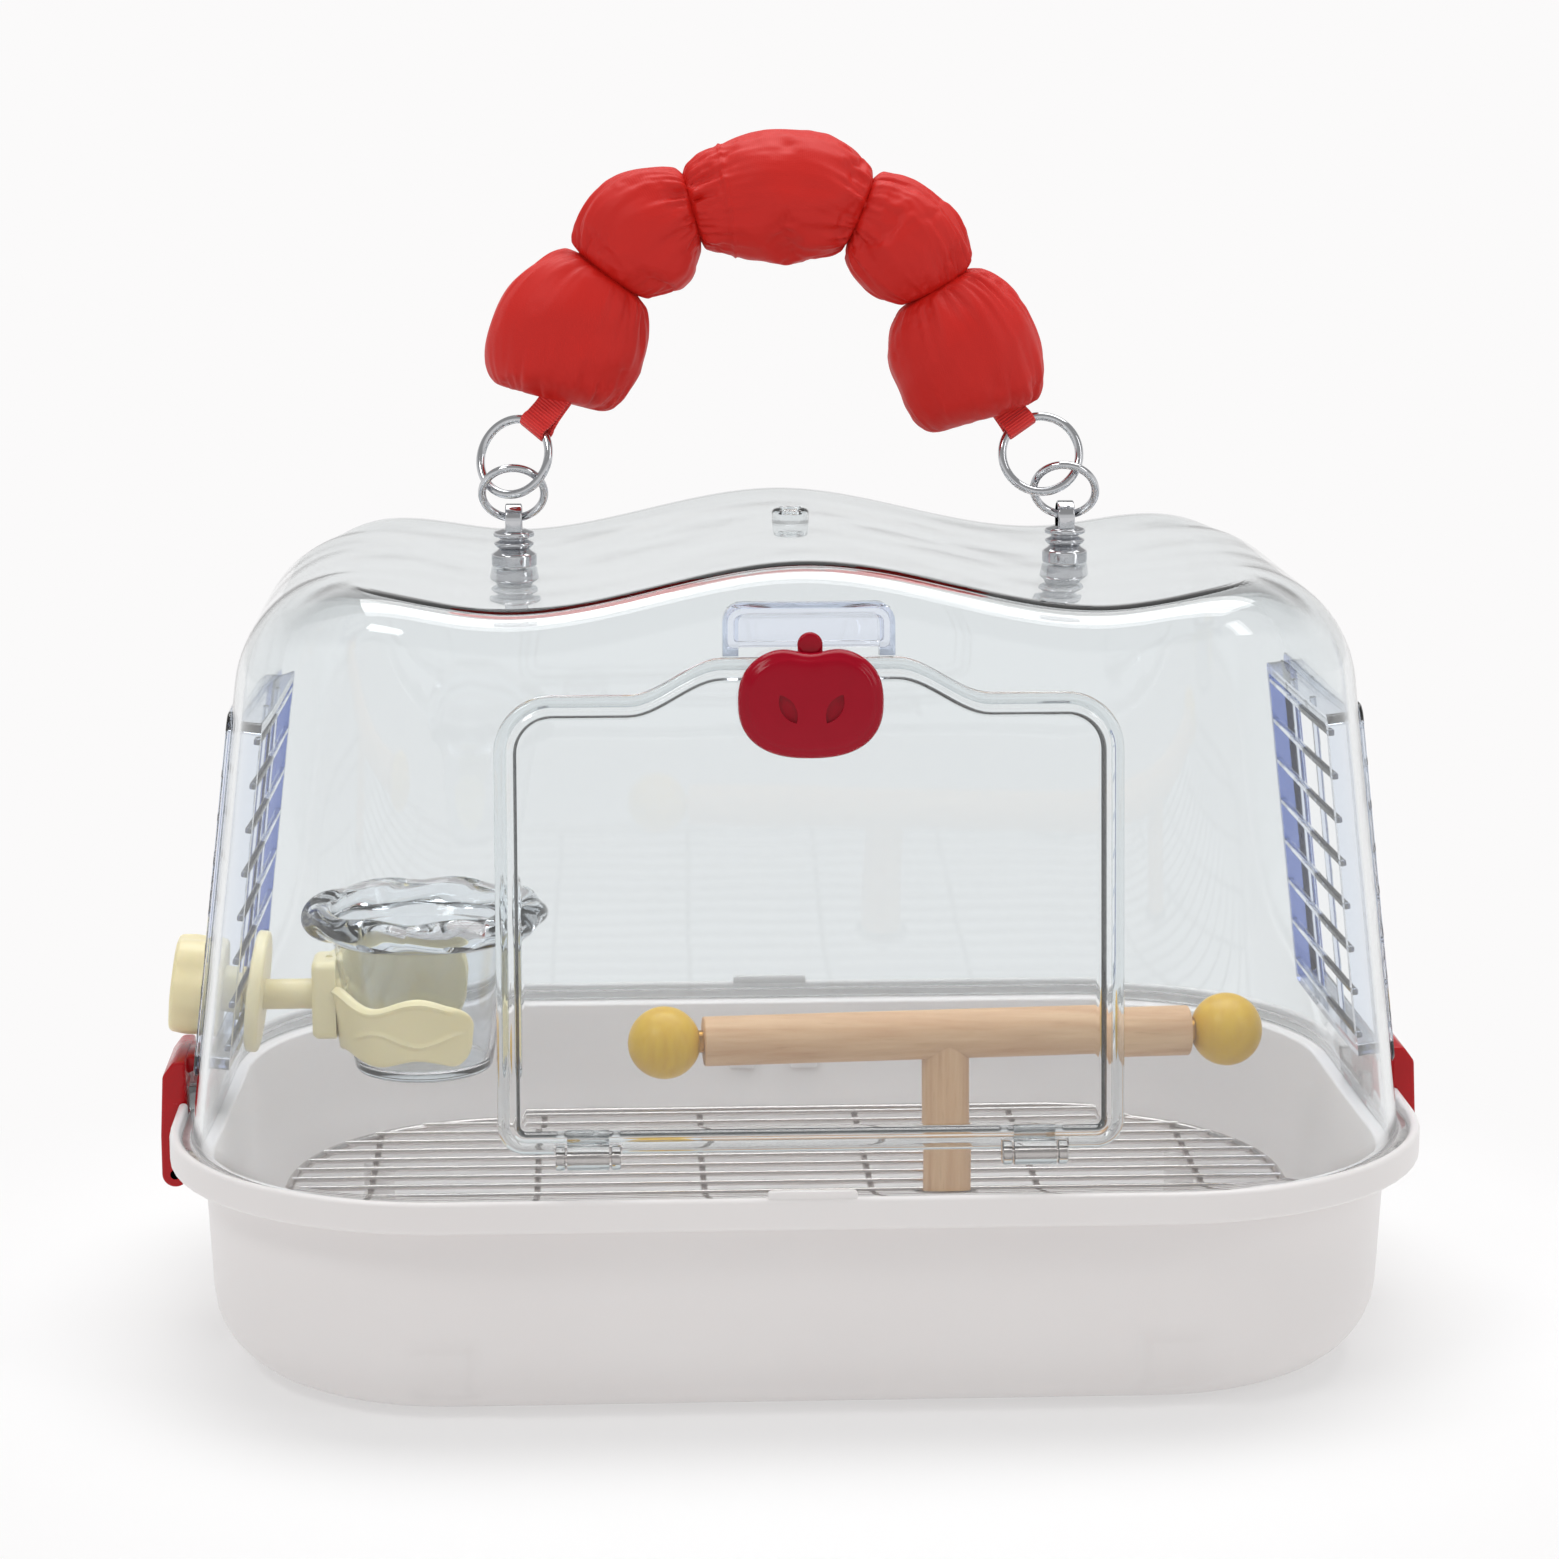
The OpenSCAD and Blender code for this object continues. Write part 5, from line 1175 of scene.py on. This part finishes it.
# The simulated tube has fewer points, so its movement is drawn out over the finer one
coarse = 56
coarse_t, move = stuffed(120, coarse, slim)
rows = spline(move.reshape(len(coarse_t), -1), np.interp(t, coarse_t, np.arange(len(coarse_t))))
rows = rows.reshape(len(t), coarse, 3)
# Round the tube the same, with a point repeated before and two after
rows = np.concatenate([rows[:, -1:], rows, rows[:, :2]], axis=1).transpose(1, 0, 2)
swell = spline(rows.reshape(coarse + 3, -1), 1 + np.arange(SIDES) * coarse / SIDES)
swell = swell.reshape(SIDES, len(t), 3).transpose(1, 0, 2)
around = 2 * pi * np.arange(SIDES) / SIDES
rng = np.random.default_rng(11)
spans = [arc[np.searchsorted(t, k * 2 - 1e-6)] if k < 5 else arc[-1] for k in range(6)]
pleat = np.zeros((ROWS + 1, SIDES))
for k, at in enumerate(spans):
    for way in (-1, 1):
        if (k == 0 and way < 0) or (k == 5 and way > 0):
            continue
        away = (arc - at) * way
        on = (away >= -1e-9) & (away < 60)
        d = np.where(on, away, 0)
        # Each neck has its own pleats, some long and some short
        shape = np.zeros((ROWS + 1, SIDES))
        for wave in (7, 11, 16, 22, 30, 41):
            reach = rng.uniform(6, 12) * (16 / wave) ** 0.3
            phase, lean_by = rng.uniform(0, 6.28), rng.uniform(-0.05, 0.05)
            shape += (2.4 / wave**0.35) * np.exp(-d / reach)[:, None] * np.sin(
                wave * around[None, :] + phase + lean_by * wave * d[:, None] / 3)
        rise = np.clip(d / 1.5, 0.25, 1)[:, None]
        gate = 0.6 + 0.4 * np.sin(2 * around + rng.uniform(0, 6.28))[None, :]
        pleat += np.where(on[:, None], shape * rise * gate, 0)
# Long shallow hollows where the cloth is not quite filled
for wave in (2, 3, 5):
    along_by = rng.uniform(0.03, 0.09)
    pleat += 0.28 * np.sin(wave * around[None, :] + along_by * arc[:, None] * wave + rng.uniform(0, 6.28))
# The seam: a narrow ridge between two shallow hollows
seam_at = arc[np.argmin(np.abs(centre[:, 0] - SEAM_X))]
from_seam = (arc - seam_at)[:, None]
pleat += np.exp(-((from_seam / 0.6) ** 2)) - 0.6 * np.exp(-((from_seam / 2.4) ** 2))
# The necks are sewn through: a crease round each, deeper on one side
for at in spans[1:-1]:
    depth = 0.6 + 0.4 * np.sin(around + rng.uniform(0, 6.28))[None, :]
    pleat -= depth * np.exp(-(((arc - at)[:, None] / 0.8) ** 2))
up, out_y = girdle(form, SIDES)
size = np.hypot(up, out_y) + 1e-6
grow = 1 + pleat * 0.7 / size * np.clip(size / 10, 0, 1)
mesh = pad_mesh(pad_points(form, up * grow, out_y * grow) + swell)
mesh.validate()
uv = mesh.uv_layers.new(name="weave")
for face in mesh.polygons:
    for loop in face.loop_indices:
        v = mesh.loops[loop].vertex_index
        row, col = divmod(v, SIDES)
        wraps = col == 0 and max(mesh.loops[i].vertex_index % SIDES for i in face.loop_indices) == SIDES - 1
        uv.data[loop].uv = (arc[row], 110.0 * (SIDES if wraps else col) / SIDES)
smooth(mesh, 80)
pad = bpy.data.objects.new("handle_pad_stuffed", mesh)
scene.collection.objects.link(pad)

# Nylon taffeta: a tight plain weave with a low silky gloss. Real threads are 0.15 mm
# apart; they are drawn 0.5 mm apart so that the weave shows at all.
taffeta, tree, shader = finish_of(
    "red_nylon_taffeta", "#C51B12", Roughness=0.5, Specular_IOR_Level=0.3, Sheen_Weight=0.05,
    Sheen_Roughness=0.4, Sheen_Tint=linear("#FF8A80"),
)
lay = add(tree, "UVMap", uv_map="weave")
warp, weft = (add(tree, "TexWave", {"Vector": lay, "Scale": 0.62}, bands_direction=way).outputs["Fac"]
              for way in "XY")
cloth = add(tree, "Math", {0: warp, 1: weft}, operation="MULTIPLY")
where = add(tree, "TexCoord").outputs["Object"]
dye = add(tree, "TexNoise", {"Vector": where, "Scale": 30.0, "Detail": 3.0})
show(tree, shader, dye, tones=("#BF170F", "#CC2016"))
fine = add(tree, "TexNoise", {"Vector": where, "Scale": 240.0, "Detail": 4.0})
weave = add(tree, "Bump", {"Height": cloth, "Strength": 0.18, "Distance": 0.0002})
crush = add(tree, "Bump", {"Height": fine, "Strength": 0.12, "Distance": 0.0006, "Normal": weave})
tree.links.new(crush.outputs[0], shader.inputs["Normal"])
mesh.materials.append(taffeta)
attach(pad, "handle")
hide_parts("handle_pad")

# Studio: a plain pale floor under soft lamps, and the camera where the photograph was
# taken from. These are not part of the object.
ground, tree, shader = finish_of("pale_studio_floor", "#F4F4F4", Roughness=0.9)
where = add(tree, "TexCoord").outputs["Object"]
away = add(tree, "VectorMath", {0: where}, operation="LENGTH").outputs["Value"]
# Beyond the carrier the floor is as bright as the backdrop, so that no horizon shows
far = add(tree, "MapRange", {"Value": away, "From Min": 0.16, "From Max": 0.34, "To Min": 0.4},
          interpolation_type="SMOOTHSTEP")
glow = add(tree, "Emission", {"Color": linear("#FBFAFA")})
both = add(tree, "MixShader", {0: far, 1: shader, 2: glow})
tree.links.new(both.outputs[0], tree.nodes["Material Output"].inputs["Surface"])
sheet = bpy.data.meshes.new("studio_floor")
sheet.from_pydata([(-6, -6, -0.0004), (6, -6, -0.0004), (6, 6, -0.0004), (-6, 6, -0.0004)], [], [(0, 1, 2, 3)])
sheet.materials.append(ground)
floor = bpy.data.objects.new("studio_floor", sheet)
scene.collection.objects.link(floor)

world = bpy.data.worlds.new("studio")
scene.world = world
world.use_nodes = True
tree = world.node_tree
tree.nodes["Background"].inputs[0].default_value = linear("#FBFAFA")
# The room is bright round the horizon, as a white sweep is, and darker overhead
high = add(tree, "SeparateXYZ", {0: add(tree, "TexCoord").outputs["Generated"]}).outputs["Z"]
dim = add(tree, "MapRange", {"Value": high, "From Min": 0.16, "From Max": 0.42, "To Min": 0.92, "To Max": 0.46},
          interpolation_type="SMOOTHSTEP")
room = add(tree, "Background", {"Color": linear("#F4F4F4"), "Strength": dim})
path = add(tree, "LightPath")
seen = add(tree, "MixShader", {0: path.outputs["Is Camera Ray"], 1: room, 2: tree.nodes["Background"]})
tree.links.new(seen.outputs[0], tree.nodes["World Output"].inputs["Surface"])


def lamp(name, place, aim, size, power):
    """A soft box that points at aim."""
    data = bpy.data.lights.new(name, "AREA")
    data.shape, data.size, data.size_y, data.energy = "RECTANGLE", size[0], size[1], power
    obj = bpy.data.objects.new(name, data)
    obj.location = place
    obj.rotation_euler = (Vector(aim) - Vector(place)).to_track_quat("-Z", "Y").to_euler()
    scene.collection.objects.link(obj)


lamp("key_box", (-0.9, -1.0, 1.5), (0, 0, 0.15), (0.7, 0.35), 5.5)
lamp("fill_box", (1.2, -0.9, 1.0), (0, 0, 0.15), (0.3, 0.8), 2.5)
lamp("top_box", (0.1, 0.35, 1.6), (0, 0, 0.1), (1.8, 1.1), 21)

eye = bpy.data.objects.new("camera", bpy.data.cameras.new("camera"))
eye.location = (-0.0611, -1.192, 0.396)
eye.rotation_euler = (radians(79), 0, radians(-2.78))
eye.data.sensor_width, eye.data.lens = 36, 92.74
scene.collection.objects.link(eye)
scene.camera = eye
scene.view_settings.view_transform = "Standard"
